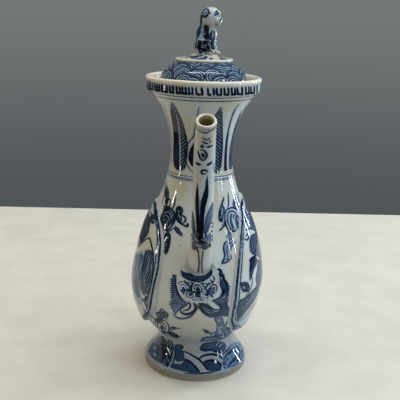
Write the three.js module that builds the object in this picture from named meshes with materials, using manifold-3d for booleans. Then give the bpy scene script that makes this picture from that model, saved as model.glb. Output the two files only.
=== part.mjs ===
// Covered porcelain ewer: pear-shaped body on a spreading foot, flared mouth, S-curved spout,
// strap handle and a domed cover with a seated guardian lion.
// Millimetres, +Z up. The origin is the centre of the foot's resting plane.
// The spout points to -Y, the handle to +Y, and the raised side panels face -X and +X.
import * as THREE from 'three';
import { mergeVertices } from 'three/addons/utils/BufferGeometryUtils.js';
import Module from 'manifold-3d';

const wasm = await Module();
wasm.setup();

// Driving dimensions
const footTop = 29.3;
const shoulderZ = 161.0;
const flareZ = 213.0;
const bandZ = 226.0;
const seatTop = 229.3;
const rimTop = 236.4;
const coverBase = 229.6;
const edgeRingZ = 248.0;
const capTop = 252.8;
const joinGap = 0.3;
const aroundSteps = 32;

// Wall and relief thicknesses
const bodyWall = 3.2;
const neckWall = 3.0;
const panelRelief = 2.2;
const collarRelief = 3.6;
const terminalRelief = 2.6;

// Outer outlines as radius, height pairs
const bodyOutline = [
  [33.4, footTop + joinGap], [41.9, 40], [47.0, 52], [50.4, 66], [51.2, 79], [49.5, 94],
  [46.0, 110], [40.7, 125], [34.2, 138], [29.3, 150], [26.0, shoulderZ],
];
const neckOutline = [
  [25.9, shoulderZ + joinGap], [24.4, 172], [24.5, 183], [26.0, 196], [28.9, 205], [32.5, flareZ],
];
const flareOutline = [
  [32.7, flareZ + joinGap], [36.2, 218], [39.8, 222.4], [43.3, bandZ],
];

// Glaze colours
const paleGlaze = { color: 0xd9dcd8, roughness: 0.18, metalness: 0 };
const blueGlaze = { color: 0x3b4a78, roughness: 0.18, metalness: 0 };
const footGlaze = { color: 0xbfc3cc, roughness: 0.22, metalness: 0 };

const ewer = new THREE.Group();
const cover = new THREE.Group();

function outlineCurve(pairs) {
  const points = pairs.map(([radius, height]) => new THREE.Vector2(radius, height));
  return new THREE.SplineCurve(points);
}

function outlinePoints(pairs, steps) {
  return outlineCurve(pairs).getPoints(steps);
}

// The amount may change with the height
function shifted(points, amount) {
  const amountAt = typeof amount === 'function' ? amount : () => amount;
  return points.map((point) => new THREE.Vector2(point.x + amountAt(point.y), point.y));
}

// Closed meshes become solids for joining and cutting
function solidOf(geometry) {
  const bare = geometry.clone();
  bare.deleteAttribute('normal');
  bare.deleteAttribute('uv');
  const welded = mergeVertices(bare, 1e-4);
  const triVerts = new Uint32Array(welded.index.array);
  const vertProperties = new Float32Array(welded.attributes.position.array);
  const mesh = new wasm.Mesh({ numProp: 3, vertProperties, triVerts });
  mesh.merge();
  return new wasm.Manifold(mesh);
}

function geometryOf(solid) {
  const mesh = solid.getMesh();
  const geometry = new THREE.BufferGeometry();
  geometry.setAttribute('position', new THREE.BufferAttribute(mesh.vertProperties, mesh.numProp));
  geometry.setIndex(new THREE.BufferAttribute(mesh.triVerts, 1));
  return geometry;
}

function signedVolume(geometry) {
  const position = geometry.attributes.position;
  const index = geometry.index;
  const corners = [new THREE.Vector3(), new THREE.Vector3(), new THREE.Vector3()];
  let volume = 0;
  for (let i = 0; i < index.count; i += 3) {
    corners.forEach((corner, k) => corner.fromBufferAttribute(position, index.getX(i + k)));
    volume += corners[0].dot(corners[1].cross(corners[2])) / 6;
  }
  return volume;
}

function facedOut(geometry) {
  if (signedVolume(geometry) > 0) {
    return geometry;
  }
  const index = geometry.index.array;
  for (let i = 0; i < index.length; i += 3) {
    [index[i], index[i + 2]] = [index[i + 2], index[i]];
  }
  return geometry;
}

// A closed profile turned about the Z axis
function turned(points, steps = aroundSteps) {
  const closed = points.slice();
  const first = points[0];
  const last = points[points.length - 1];
  const onAxis = Math.abs(first.x) < 1e-6 && Math.abs(last.x) < 1e-6;
  if (!onAxis) {
    closed.push(first.clone());
  }
  const geometry = new THREE.LatheGeometry(closed, steps);
  geometry.rotateX(Math.PI / 2);
  return facedOut(geometry);
}

// A turned bar laid along a curve in the YZ plane; its section may be flattened across the curve
function bentAlong(curve, profile, sides, flatness = 1) {
  const geometry = new THREE.LatheGeometry(profile, sides);
  const position = geometry.attributes.position;
  const length = curve.getLength();
  const across = new THREE.Vector3(1, 0, 0);
  const normal = new THREE.Vector3();
  for (let i = 0; i < position.count; i += 1) {
    const share = THREE.MathUtils.clamp(position.getY(i) / length, 0, 1);
    const place = curve.getPointAt(share);
    normal.crossVectors(curve.getTangentAt(share), across);
    place.addScaledVector(across, position.getX(i));
    place.addScaledVector(normal, position.getZ(i) * flatness);
    position.setXYZ(i, place.x, place.y, place.z);
  }
  return facedOut(geometry);
}

// A shape drawn across and up, pushed out along the given horizontal direction
function pushedOut(shape, across, out, near, far) {
  const options = { depth: far - near, bevelEnabled: false, curveSegments: 2 };
  const geometry = new THREE.ExtrudeGeometry(shape, options);
  geometry.translate(0, 0, near);
  geometry.applyMatrix4(new THREE.Matrix4().makeBasis(across, new THREE.Vector3(0, 0, 1), out));
  return facedOut(mergeVertices(geometry));
}

function smoothShape(pairs) {
  const shape = new THREE.Shape();
  shape.moveTo(...pairs[0]);
  shape.splineThru(pairs.slice(1).map(([across, up]) => new THREE.Vector2(across, up)));
  return shape;
}

function named(name, geometry, look, group) {
  const mesh = new THREE.Mesh(geometry, new THREE.MeshStandardMaterial(look));
  mesh.name = name;
  group.add(mesh);
}

// The vessel's outer form, grown outwards, used to fit applied pieces to the wall
const bodyOuter = outlinePoints(bodyOutline, 15);
const neckOuter = outlinePoints(neckOutline, 8);
const flareOuter = outlinePoints(flareOutline, 5);
const wallPoints = [...bodyOuter, ...neckOuter.slice(1), ...flareOuter.slice(1)];

function vesselForm(growth) {
  const wall = shifted(wallPoints, growth);
  const bottom = new THREE.Vector2(0, wall[0].y);
  const top = new THREE.Vector2(0, wall[wall.length - 1].y);
  return solidOf(turned([bottom, ...wall, top]));
}

function wallSkin(inner, outer) {
  return vesselForm(outer).subtract(vesselForm(inner));
}

const fittedWall = vesselForm(joinGap);

// Foot: a domed spreading ring, hollow underneath
const footRadius = 42.5;
const footBandTop = 6.5;
const footWaist = 32.1;
const footRingInner = 36.8;
const footOuter = [
  new THREE.Vector2(footRadius - 0.8, 0),
  new THREE.Vector2(footRadius, 1.2),
  ...outlinePoints([[42.1, footBandTop], [38.4, 11.6], [34.6, 17], [footWaist, 24.4], [33.2, footTop]], 8),
];
const footInner = outlinePoints([[28.6, footTop], [28.2, 22], [31.2, 13], [footRingInner, 4]], 5);
named('foot', turned([...footOuter, ...footInner, new THREE.Vector2(footRingInner, 0)]), footGlaze, ewer);

// Spout: an S-curve in the plane of symmetry, given as distance out from the axis and height
const spoutPath = [
  [40, 100.5], [51, 106], [60.5, 117], [66.8, 133], [68.6, 152], [68.4, 173], [70.6, 192],
  [76.2, 206], [80.6, 211.2], [83.4, 215.5],
];
const spoutCurve = new THREE.CatmullRomCurve3(
  spoutPath.map(([out, up]) => new THREE.Vector3(0, -out, up)),
);
const spoutLength = spoutCurve.getLength();
const lipLength = 2.4;
const lipRadius = 7.1;
const boreAtMouth = 5.2;
const boreAtRoot = 5.8;
const spoutRootRadius = 9.4;
const spoutWaistRadius = 7.8;

function spoutRadius(share) {
  const lower = THREE.MathUtils.lerp(spoutRootRadius, spoutWaistRadius, Math.min(share / 0.45, 1));
  const upper = THREE.MathUtils.smoothstep(share, 0.72, 1) * (spoutWaistRadius - lipRadius);
  return lower - upper;
}

function boreRadius(share) {
  return THREE.MathUtils.lerp(boreAtRoot, boreAtMouth, share);
}

function spoutProfile(growth, from, to, steps, hollow) {
  const outside = [];
  const inside = [];
  for (let i = 0; i <= steps; i += 1) {
    const along = THREE.MathUtils.lerp(from, to, i / steps);
    const share = along / spoutLength;
    outside.push(new THREE.Vector2(spoutRadius(share) + growth, along));
    inside.unshift(new THREE.Vector2(boreRadius(share), along));
  }
  if (hollow) {
    return [...outside, ...inside, outside[0].clone()];
  }
  return [new THREE.Vector2(0, from), ...outside, new THREE.Vector2(0, to)];
}

const spoutSides = 12;
const spoutSteps = 15;
const tubeEnd = spoutLength - lipLength - joinGap;
const spoutTube = solidOf(bentAlong(spoutCurve, spoutProfile(0, 0, tubeEnd, spoutSteps, true), spoutSides));
const spoutRoom = solidOf(
  bentAlong(spoutCurve, spoutProfile(joinGap, 0, tubeEnd, spoutSteps, false), spoutSides),
);
named('spout', geometryOf(spoutTube.subtract(fittedWall)), paleGlaze, ewer);

// Spout lip: the rounded white rim of the mouth
const lipStart = spoutLength - lipLength;
const lipProfile = [
  new THREE.Vector2(boreAtMouth, lipStart),
  new THREE.Vector2(lipRadius - 0.2, lipStart),
  new THREE.Vector2(lipRadius + 0.1, lipStart + 1.0),
  new THREE.Vector2(lipRadius - 0.4, spoutLength - 0.4),
  new THREE.Vector2(lipRadius - 0.9, spoutLength),
  new THREE.Vector2(boreAtMouth + 0.3, spoutLength - 0.1),
  new THREE.Vector2(boreAtMouth, spoutLength - 0.6),
  new THREE.Vector2(boreAtMouth, lipStart),
];
named('spout_lip', bentAlong(spoutCurve, lipProfile, spoutSides), paleGlaze, ewer);

// Body: the pear-shaped vessel, pierced where the spout springs from it
const bodyFloor = 33.4;
const bodyInner = outlinePoints(
  bodyOutline.map(([radius, height]) => [radius - bodyWall, Math.max(height, bodyFloor + 0.6)]),
  10,
).reverse();
const bodyShell = turned([
  new THREE.Vector2(0, footTop + joinGap),
  ...bodyOuter,
  ...bodyInner,
  new THREE.Vector2(0, bodyFloor),
]);
const boreStart = 0;
const boreEnd = 22;
const spoutBore = solidOf(bentAlong(
  spoutCurve,
  [
    new THREE.Vector2(0, boreStart),
    new THREE.Vector2(boreAtRoot, boreStart),
    new THREE.Vector2(boreAtRoot, boreEnd),
    new THREE.Vector2(0, boreEnd),
  ],
  spoutSides,
));
named('body', geometryOf(solidOf(bodyShell).subtract(spoutBore)), paleGlaze, ewer);

// Neck and flared mouth
const neckInner = shifted(outlinePoints(neckOutline, 6), -neckWall).reverse();
named('neck', turned([...neckOuter, ...neckInner]), paleGlaze, ewer);

const flareShelf = 36.8;
const flareInner = outlinePoints([[29.8, flareZ + joinGap], [32.6, 218.4], [flareShelf, bandZ]], 4).reverse();
named('mouth_flare', turned([...flareOuter, ...flareInner]), paleGlaze, ewer);

// Mouth rim: the upright band with its rounded lip
const bandRadius = 43.8;
const bandInner = 40.0;
const lipCrest = 42.6;
const rimProfile = [
  new THREE.Vector2(bandInner, bandZ + joinGap),
  new THREE.Vector2(bandRadius - 0.3, bandZ + joinGap),
  new THREE.Vector2(bandRadius, bandZ + 1.4),
  new THREE.Vector2(bandRadius, 232.6),
  new THREE.Vector2(bandRadius + 0.5, 234.6),
  new THREE.Vector2(bandRadius, 235.9),
  new THREE.Vector2(lipCrest, rimTop),
  new THREE.Vector2(lipCrest - 1.2, 235.9),
  new THREE.Vector2(bandInner + 0.5, 233.8),
  new THREE.Vector2(bandInner, 231.5),
];
named('mouth_rim', turned(rimProfile), blueGlaze, ewer);

// Seat: the ledge inside the mouth that carries the cover
const seatHole = 29.6;
const seatOuter = bandInner - joinGap;
const seatProfile = [
  new THREE.Vector2(seatHole, bandZ + joinGap),
  new THREE.Vector2(seatOuter, bandZ + joinGap),
  new THREE.Vector2(seatOuter, seatTop),
  new THREE.Vector2(seatHole, seatTop),
];
named('cover_seat', turned(seatProfile), paleGlaze, ewer);

// Side panels: large raised peach-shaped reliefs, point up, one on each flank
const panelFronts = {
  left: [
    [10.5, 135.5], [20, 131.5], [28.6, 125.5], [34.2, 118.5], [38, 110.5], [40.8, 99], [42, 87], [41.2, 73],
    [37.5, 60], [29, 49.5], [16.5, 39.5],
  ],
  right: [
    [14.5, 138.5], [22, 131], [29, 122.5], [35, 112], [39.2, 101], [42.6, 88], [44, 76], [43, 62],
    [38.5, 49], [27, 38.5],
  ],
};
const panelRear = [
  [11.5, 135], [21.5, 129], [29.6, 120.8], [35.5, 109.5], [39.2, 96], [41.0, 82], [39.8, 66],
  [35.6, 53], [25, 40.5],
];
const panelTip = { left: 139.5, right: 146 };
const panelFoot = 34.5;
const panelTurn = { left: -2, right: 2 };
const mirrored = (pairs) => pairs.map(([across, up]) => [-across, up]);

function panelShape(tip, right, left) {
  return smoothShape([[0, tip], ...right, [0, panelFoot], ...mirrored(left).reverse(), [0, tip]]);
}

// The left panel is fuller below
const panelBelly = { left: 2.6, right: 0 };

function panelSkin(name) {
  const belly = (height) => panelBelly[name] * THREE.MathUtils.smoothstep(100 - height, 0, 50);
  return wallSkin(joinGap, (height) => panelRelief + belly(height));
}

function sidePanel(name, side, shape) {
  const turn = THREE.MathUtils.degToRad(panelTurn[name]);
  const out = new THREE.Vector3(side, 0, 0).applyAxisAngle(new THREE.Vector3(0, 0, 1), turn);
  const across = new THREE.Vector3(0, side, 0).applyAxisAngle(new THREE.Vector3(0, 0, 1), turn);
  const stamp = solidOf(pushedOut(shape, across, out, 12, 70));
  named(`side_panel_${name}`, geometryOf(panelSkin(name).intersect(stamp)), blueGlaze, ewer);
}

sidePanel('left', -1, panelShape(panelTip.left, panelFronts.left, panelRear));
sidePanel('right', 1, panelShape(panelTip.right, panelRear, panelFronts.right));

// Spout root collar: a raised crescent that cups the spout from below
const front = new THREE.Vector3(0, -1, 0);
const back = new THREE.Vector3(0, 1, 0);
const acrossFront = new THREE.Vector3(1, 0, 0);
const acrossBack = new THREE.Vector3(-1, 0, 0);
const crescentOuter = [
  [-11.4, 102], [-15.6, 94.5], [-16.8, 86], [-12.6, 76.8], [-1, 72], [10.4, 76.4], [14.6, 86], [13.4, 94.5],
];
const crescentInner = [[10.2, 102], [8.2, 97.5], [4.2, 93.8], [-1, 92.8], [-6, 94], [-9.8, 97.5], [-11.4, 102]];
const collarBlank = wallSkin(joinGap, collarRelief).intersect(
  solidOf(pushedOut(smoothShape([...crescentOuter, ...crescentInner]), acrossFront, front, 12, 70)),
);
named('spout_root_collar', geometryOf(collarBlank.subtract(spoutRoom)), paleGlaze, ewer);

// Strut: the bracket that ties the spout to the neck
const strutThickness = 6.4;
const strutShape = smoothShape([
  [18, 187], [30, 190.5], [40, 195.5], [50, 193], [60, 189], [70, 188],
  [70, 180], [60, 181.5], [50, 184.5], [40, 186.5], [30, 181.5], [18, 177], [18, 187],
]);
const strutBlank = solidOf(pushedOut(
  strutShape,
  front,
  acrossBack,
  -strutThickness / 2,
  strutThickness / 2,
));
named('spout_strut', geometryOf(strutBlank.subtract(fittedWall).subtract(spoutRoom)), paleGlaze, ewer);

// Handle: a flattened strap that springs from the neck and returns to the belly
const handlePath = [
  [16, 196], [30, 203], [47, 210], [64, 209.5], [78, 199], [85.4, 180], [87, 158], [82, 136],
  [73, 116], [60, 101], [44, 92],
];
const handleCurve = new THREE.CatmullRomCurve3(
  handlePath.map(([out, up]) => new THREE.Vector3(0, out, up)),
);
const handleLength = handleCurve.getLength();
const handleHalfWidth = 6.6;
const handleFlatness = 0.5;
const handleSides = 10;
const handleSteps = 20;

function handleBar(growth) {
  const side = [];
  for (let i = 0; i <= handleSteps; i += 1) {
    side.push(new THREE.Vector2(handleHalfWidth + growth, (handleLength * i) / handleSteps));
  }
  const profile = [new THREE.Vector2(0, 0), ...side, new THREE.Vector2(0, handleLength)];
  return solidOf(bentAlong(handleCurve, profile, handleSides, handleFlatness + growth / handleHalfWidth));
}

named('handle', geometryOf(handleBar(0).subtract(fittedWall)), paleGlaze, ewer);

// Handle terminals: cloud-shaped pads luted over the joins
const handleRoom = handleBar(joinGap);

function terminal(pairs) {
  const stamp = solidOf(pushedOut(smoothShape(pairs), acrossBack, back, 10, 70));
  const pad = wallSkin(joinGap, terminalRelief).intersect(stamp);
  return geometryOf(pad.subtract(handleRoom));
}

const upperPad = [[0, 214], [8, 210], [10.5, 203], [7, 196], [0, 192], [-7, 196], [-10.5, 203], [-8, 210], [0, 214]];
const lowerPad = [[0, 110], [9, 105], [12, 97], [8, 88], [0, 80], [-8, 88], [-12, 97], [-9, 105], [0, 110]];
named('handle_upper_terminal', terminal(upperPad), paleGlaze, ewer);
named('handle_lower_terminal', terminal(lowerPad), paleGlaze, ewer);

// Cover: dome with a locating flange underneath
const coverRadius = 33.2;
const flangeOuter = 28.4;
const flangeInner = 25.8;
const flangeBottom = 222.0;
const domeTop = edgeRingZ - joinGap;
const domeOuter = [
  new THREE.Vector2(coverRadius - 0.4, coverBase),
  ...outlinePoints([[coverRadius, 232], [33.1, 235], [31, 239.6], [28, 242.6], [24.8, 245.2], [21.5, domeTop]], 9),
];
const domeInner = outlinePoints([[0, 245], [15, 243.8], [23, 239], [flangeInner, coverBase]], 6);
named('cover_dome', turned([
  new THREE.Vector2(0, domeTop),
  ...domeOuter.reverse(),
  ...domeInner.reverse(),
]), blueGlaze, cover);

const flangeTop = coverBase - joinGap;
const flangeProfile = [
  new THREE.Vector2(flangeInner, flangeBottom),
  new THREE.Vector2(flangeOuter - 0.6, flangeBottom),
  new THREE.Vector2(flangeOuter, flangeBottom + 0.8),
  new THREE.Vector2(flangeOuter, flangeTop),
  new THREE.Vector2(flangeInner, flangeTop),
];
named('cover_flange', turned(flangeProfile), paleGlaze, cover);

// White rounded edge ring and the low cap that carries the lion
const ringRadius = 21.8;
const capRadius = 18.4;
const ringProfile = [
  new THREE.Vector2(capRadius + joinGap, edgeRingZ),
  new THREE.Vector2(ringRadius - 0.4, edgeRingZ),
  new THREE.Vector2(ringRadius, edgeRingZ + 0.7),
  new THREE.Vector2(ringRadius - 0.5, edgeRingZ + 1.5),
  new THREE.Vector2(capRadius + joinGap, edgeRingZ + 1.6),
];
named('cover_edge_ring', turned(ringProfile), paleGlaze, cover);

const capProfile = [
  new THREE.Vector2(0, edgeRingZ),
  new THREE.Vector2(capRadius, edgeRingZ),
  new THREE.Vector2(capRadius, edgeRingZ + 1.6),
  new THREE.Vector2(13.6, 250.2),
  new THREE.Vector2(10.6, 251.2),
  new THREE.Vector2(9.6, capTop),
  new THREE.Vector2(0, capTop),
];
named('cover_cap', turned(capProfile, 24), blueGlaze, cover);

// Guardian lion seated upright on the cap: each piece is a group of rounded masses,
// given as centre, half sizes and lean about Y in degrees
const lionMasses = {
  lion_body: [[[0.4, 1.0, 263.0], [7.2, 5.8, 10.5], 2], [[3.6, -1.8, 267.5], [5.4, 4.6, 6.0], 0]],
  lion_head: [
    [[3.6, -3.0, 280.1], [7.8, 6.7, 7.0], 0],
    [[8.8, -5.0, 277.0], [3.5, 4.1, 3.3], 20],
    [[11.2, -5.6, 278.6], [1.3, 1.7, 1.0], 0],
    [[8.6, -5.4, 282.5], [2.7, 2.5, 2.3], -20],
  ],
  lion_mane: [[[1.2, 2.2, 277.0], [5.6, 5.7, 8.1], 6], [[-2.6, 0.8, 268.0], [4.2, 5.7, 6.1], 6]],
  lion_foreleg_left: [[[-3.6, -4.6, 259.8], [3.1, 3.1, 7.7], -2], [[-2.8, -6.6, 254.3], [3.1, 3.3, 1.8], 0]],
  lion_foreleg_right: [[[5.0, -4.4, 260.0], [3.5, 3.1, 7.9], 3], [[4.0, -6.6, 254.3], [3.1, 3.3, 1.8], 0]],
  lion_haunch_left: [[[-4.8, 2.2, 257.8], [3.1, 4.9, 5.0], 0]],
  lion_haunch_right: [[[6.4, 2.2, 258.0], [3.3, 4.9, 5.1], 0], [[9.6, -1.2, 254.2], [2.7, 2.7, 1.4], 12]],
  lion_tail: [[[0.8, 7.6, 260.6], [2.4, 2.2, 6.4], 0], [[0.8, 8.2, 266.4], [2.8, 2.4, 3.4], 0]],
  lion_ear_left: [[[0.6, -8.0, 283.0], [3.0, 1.7, 3.0], -20]],
  lion_ear_right: [[[7.0, 2.5, 284.5], [2.1, 1.7, 2.5], 0]],
};
const massSides = 10;
const massRings = 7;

function roundedMass([centre, halfSizes, lean], growth) {
  const geometry = new THREE.SphereGeometry(1, massSides, massRings);
  geometry.rotateX(Math.PI / 2);
  geometry.scale(...halfSizes.map((half) => half + growth));
  geometry.rotateY(THREE.MathUtils.degToRad(lean));
  geometry.translate(...centre);
  return solidOf(facedOut(geometry));
}

function massGroup(masses, growth) {
  return masses.map((mass) => roundedMass(mass, growth)).reduce((whole, mass) => whole.add(mass));
}

const standingRoom = solidOf(turned([
  new THREE.Vector2(0, edgeRingZ - 20),
  new THREE.Vector2(30, edgeRingZ - 20),
  new THREE.Vector2(30, capTop + joinGap),
  new THREE.Vector2(0, capTop + joinGap),
]));

let taken = standingRoom;
for (const [name, masses] of Object.entries(lionMasses)) {
  const piece = massGroup(masses, 0).subtract(taken);
  named(name, geometryOf(piece), blueGlaze, cover);
  taken = taken.add(massGroup(masses, joinGap));
}

const assembly = new THREE.Group();
assembly.add(ewer);
assembly.add(cover);

export default assembly;
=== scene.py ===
import math
from contextlib import contextmanager

import bpy
import numpy as np
from mathutils import Matrix, Vector


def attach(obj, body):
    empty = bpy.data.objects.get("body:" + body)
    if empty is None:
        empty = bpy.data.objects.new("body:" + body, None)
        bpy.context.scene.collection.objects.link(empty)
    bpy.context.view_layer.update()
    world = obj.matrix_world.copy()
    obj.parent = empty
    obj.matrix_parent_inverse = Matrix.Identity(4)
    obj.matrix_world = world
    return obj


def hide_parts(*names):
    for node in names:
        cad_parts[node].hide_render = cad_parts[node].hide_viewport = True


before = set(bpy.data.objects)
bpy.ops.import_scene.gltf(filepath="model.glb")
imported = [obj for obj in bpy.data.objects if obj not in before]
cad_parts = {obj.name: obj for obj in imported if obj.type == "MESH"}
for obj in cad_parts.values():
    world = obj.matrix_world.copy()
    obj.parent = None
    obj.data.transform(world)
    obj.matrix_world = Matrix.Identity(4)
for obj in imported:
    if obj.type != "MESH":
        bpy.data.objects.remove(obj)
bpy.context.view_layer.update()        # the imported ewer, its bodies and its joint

mm = 0.001
weldGap = 0.00002        # metres
clearOfInk = 9.0         # a brush distance that is far from any stroke, in mm
brushReach = 3.0         # mm beyond a stroke that are still worked out
paintSpacing = 1.2       # mm between the points of a painted line
hatchOverlap = 0.8       # mm that hatching runs on past its shape
plainHatch = 100         # phases at which ordinary and open hatching start
openHatch = 300

# Camera fitted to the photograph's foot, rim and outline
cameraSetup = {
    "pixels": 400,       # the photograph is 400 by 400
    "distance": 539.9,   # mm from the ewer's axis
    "height": 286.2,
    "pitchDown": 15.34,  # degrees
    "roll": 1.75,
    "around": -1.75,     # the lens stands a little to the left of the spout's plane
    "sensor": 36.0,
    "focal": 63.0,
}

stageSetup = {
    "floorWide": 0.96,   # metres
    "floorFront": -0.18,
    "floorRear": 0.443,
    "floorColour": "#dad5c8",
    "floorShade": "#cfcabd",
    "warmAir": "#ffe9cc",
    "coolAir": "#d8eeff",
    "skyLeft": 0.16,     # strength of the air's light from the left, and what the right adds
    "skyRight": 0.73,
    "backdropHigh": "#757b7a",
    "backdropLow": "#505558",
    "skyAcross": (-0.9, 0.9),    # between which heights and sides of a direction the air and backdrop change
    "skyUp": (-0.05, 0.9),
    "skyFrom": (-0.1, 0.0),
    "skyOverhead": (1.3, 0.5),   # what overhead adds to the strength, and what it has low down
    "backdropRise": (-0.28, 0.05),
}


def linear(hexColour):
    # sRGB hex to linear RGBA
    parts = [int(hexColour[i:i + 2], 16) / 255 for i in (1, 3, 5)]
    return tuple([c / 12.92 if c <= 0.04045 else ((c + 0.055) / 1.055) ** 2.4 for c in parts] + [1.0])


def deselectAll():
    if bpy.context.object and bpy.context.object.mode != "OBJECT":
        bpy.ops.object.mode_set(mode="OBJECT")
    bpy.ops.object.select_all(action="DESELECT")


def only(obj):
    deselectAll()
    obj.select_set(True)
    bpy.context.view_layer.objects.active = obj


@contextmanager
def editing(obj, action="SELECT"):
    only(obj)
    bpy.ops.object.mode_set(mode="EDIT")
    bpy.ops.mesh.select_all(action=action)
    yield
    bpy.ops.object.mode_set(mode="OBJECT")


def settle(obj, name):
    # the object's place goes into its mesh
    only(obj)
    bpy.ops.object.transform_apply(location=True, rotation=True, scale=True)
    obj.name = name
    obj.data.name = name
    return obj


def applyModifier(obj, kind, **settings):
    only(obj)
    modifier = obj.modifiers.new(kind.title(), kind)
    for key, value in settings.items():
        setattr(modifier, key, value)
    bpy.ops.object.modifier_apply(modifier=modifier.name)


def corners(obj):
    flat = np.empty(len(obj.data.vertices) * 3)
    obj.data.vertices.foreach_get("co", flat)
    return flat.reshape(-1, 3) / mm


def setCorners(obj, places):
    obj.data.vertices.foreach_set("co", (places * mm).ravel())
    obj.data.update()


def softCurve(points, spacing):
    # a smooth line through a few points, sampled evenly enough for a lathe or a brush
    points = np.array(points, float)
    padded = np.vstack([2 * points[0] - points[1], points, 2 * points[-1] - points[-2]])
    samples = []
    for a, b, c, d in zip(padded, padded[1:], padded[2:], padded[3:]):
        count = max(1, int(round(np.linalg.norm(c - b) / spacing)))
        t = (np.arange(count) / count)[:, None]
        samples.append(0.5 * (2 * b + (c - a) * t + (2 * a - 5 * b + 4 * c - d) * t ** 2
                              + (3 * b - a - 3 * c + d) * t ** 3))
    samples.append(points[-1:])
    return np.vstack(samples)


def lengths(line):
    # mm from a line's start to each of its points
    return np.concatenate([[0], np.cumsum(np.hypot(*np.diff(line, axis=0).T))])


def pointsAt(where, along, line):
    return np.stack([np.interp(where, along, line[:, k]) for k in (0, 1)], axis=1)


def outward(places):
    # distance from the pot's axis
    return np.hypot(places[:, 0], places[:, 1])


def segments(points, line):
    # for each segment of a line, every point's share of the way along it and its distance
    for a, b in zip(line, line[1:]):
        step = b - a
        share = np.clip(((points - a) @ step) / max(step @ step, 1e-9), 0, 1)
        yield share, np.hypot(*(points - a - share[:, None] * step).T)


def closedRing(points):
    return [*points, points[0]]


def spinOutline(name, outline, columns):
    # an outline of radius and height is drawn edge by edge and spun about the axis
    deselectAll()
    start = outline[0]
    bpy.ops.mesh.primitive_plane_add(size=mm, location=(start[0] * mm, 0, start[1] * mm))
    obj = bpy.context.object
    with editing(obj):
        bpy.ops.mesh.select_mode(type="VERT")
        bpy.ops.mesh.merge(type="CENTER")
        for here, there in zip(outline, outline[1:]):
            step = ((there[0] - here[0]) * mm, 0, (there[1] - here[1]) * mm)
            bpy.ops.mesh.extrude_region_move(TRANSFORM_OT_translate={"value": step})
    settle(obj, name)
    with editing(obj):
        bpy.ops.mesh.spin(steps=columns, angle=2 * math.pi, center=(0, 0, 0), axis=(0, 0, 1))
        bpy.ops.mesh.select_all(action="SELECT")
        bpy.ops.mesh.remove_doubles(threshold=weldGap)
        bpy.ops.mesh.normals_make_consistent(inside=False)
    return obj


def smoothShade(obj, angle):
    only(obj)
    bpy.ops.object.shade_smooth_by_angle(angle=math.radians(angle))


def refine(obj, test):
    # halves the mesh spacing where the painting is finest
    places = corners(obj)
    middles = np.array([places[list(face.vertices)].mean(axis=0) for face in obj.data.polygons])
    with editing(obj, "DESELECT"):
        bpy.ops.mesh.select_mode(type="FACE")
    obj.data.polygons.foreach_set("select", test(middles))
    obj.data.update()
    bpy.ops.object.mode_set(mode="EDIT")
    bpy.ops.mesh.subdivide(number_cuts=1)
    bpy.ops.mesh.select_mode(type="VERT")
    bpy.ops.object.mode_set(mode="OBJECT")


# The painter's layers, each a distance in mm to the nearest brush mark, below zero inside it
layerNames = ("inkLine", "inkDark", "inkMid", "inkPale", "inkWhite")


def startPainting(obj, unwrap):
    # unwrap gives, for each corner, across (degrees or mm), up (mm) and the mm to one unit across
    count = len(obj.data.vertices)
    painting = {name: np.full(count, clearOfInk) for name in layerNames}
    painting["hatch"] = np.zeros(count)
    painting["boreShade"] = np.zeros(count)
    painting["across"], painting["up"], painting["scale"] = unwrap(corners(obj))
    painting["obj"] = obj
    return painting


def wipe(painting, where):
    # leaves bare glaze at the marked corners
    for name in layerNames:
        painting[name][where] = clearOfInk
    painting["hatch"][where] = 0


def finishPainting(painting):
    mesh = painting["obj"].data
    for name in layerNames + ("hatch", "boreShade"):
        attribute = mesh.attributes.new(name, "FLOAT", "POINT")
        attribute.data.foreach_set("value", painting[name])


def paintOn(obj, unwrap, painter, bare=None):
    # paints a piece and wipes the glaze bare again where the test says so
    painting = startPainting(obj, unwrap)
    painter(painting)
    if bare:
        wipe(painting, bare(corners(obj)))
    finishPainting(painting)


def around(places):
    # azimuth in degrees, 0 at the spout and + towards +X, with mm for each degree
    azimuth = np.degrees(np.arctan2(places[:, 0], -places[:, 1]))
    return azimuth, places[:, 2], outward(places) * math.pi / 180


def flat(places):
    # a piece that is painted flat: x across and y up
    return places[:, 0], places[:, 1], np.ones(len(places))


def frameOf(painting, at, turn=0.0):
    # local mm on the surface about a place given as azimuth and height
    azimuth, height = at
    u = ((painting["across"] - azimuth + 180) % 360 - 180) * painting["scale"]
    v = painting["up"] - height
    c, s = math.cos(math.radians(turn)), math.sin(math.radians(turn))
    return u * c + v * s, v * c - u * s


def nearLine(painting, place, line):
    # the corners about a line, and where they lie in its own mm
    u, v = frameOf(painting, **place)
    low, high = line.min(axis=0) - brushReach, line.max(axis=0) + brushReach
    near = np.nonzero((u > low[0]) & (u < high[0]) & (v > low[1]) & (v < high[1]))[0]
    return near, np.stack([u[near], v[near]], axis=1)


def brush(painting, place, layer, points, width, tip=0.5, closed=False):
    # one stroke of the brush: full width in its middle, tip share of it at its ends
    if closed:
        points = closedRing(points)
    line = softCurve(points, paintSpacing) if len(points) > 2 else np.array(points, float)
    near, p = nearLine(painting, place, line)
    if not len(near):
        return
    best = np.full(len(near), clearOfInk)
    for i, (share, away) in enumerate(segments(p, line)):
        along = (i + share) / (len(line) - 1)
        half = width / 2 * (1 if closed else tip + (1 - tip) * np.sin(math.pi * along) ** 0.6)
        best = np.minimum(best, away - half)
    painting[layer][near] = np.minimum(painting[layer][near], best)


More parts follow.
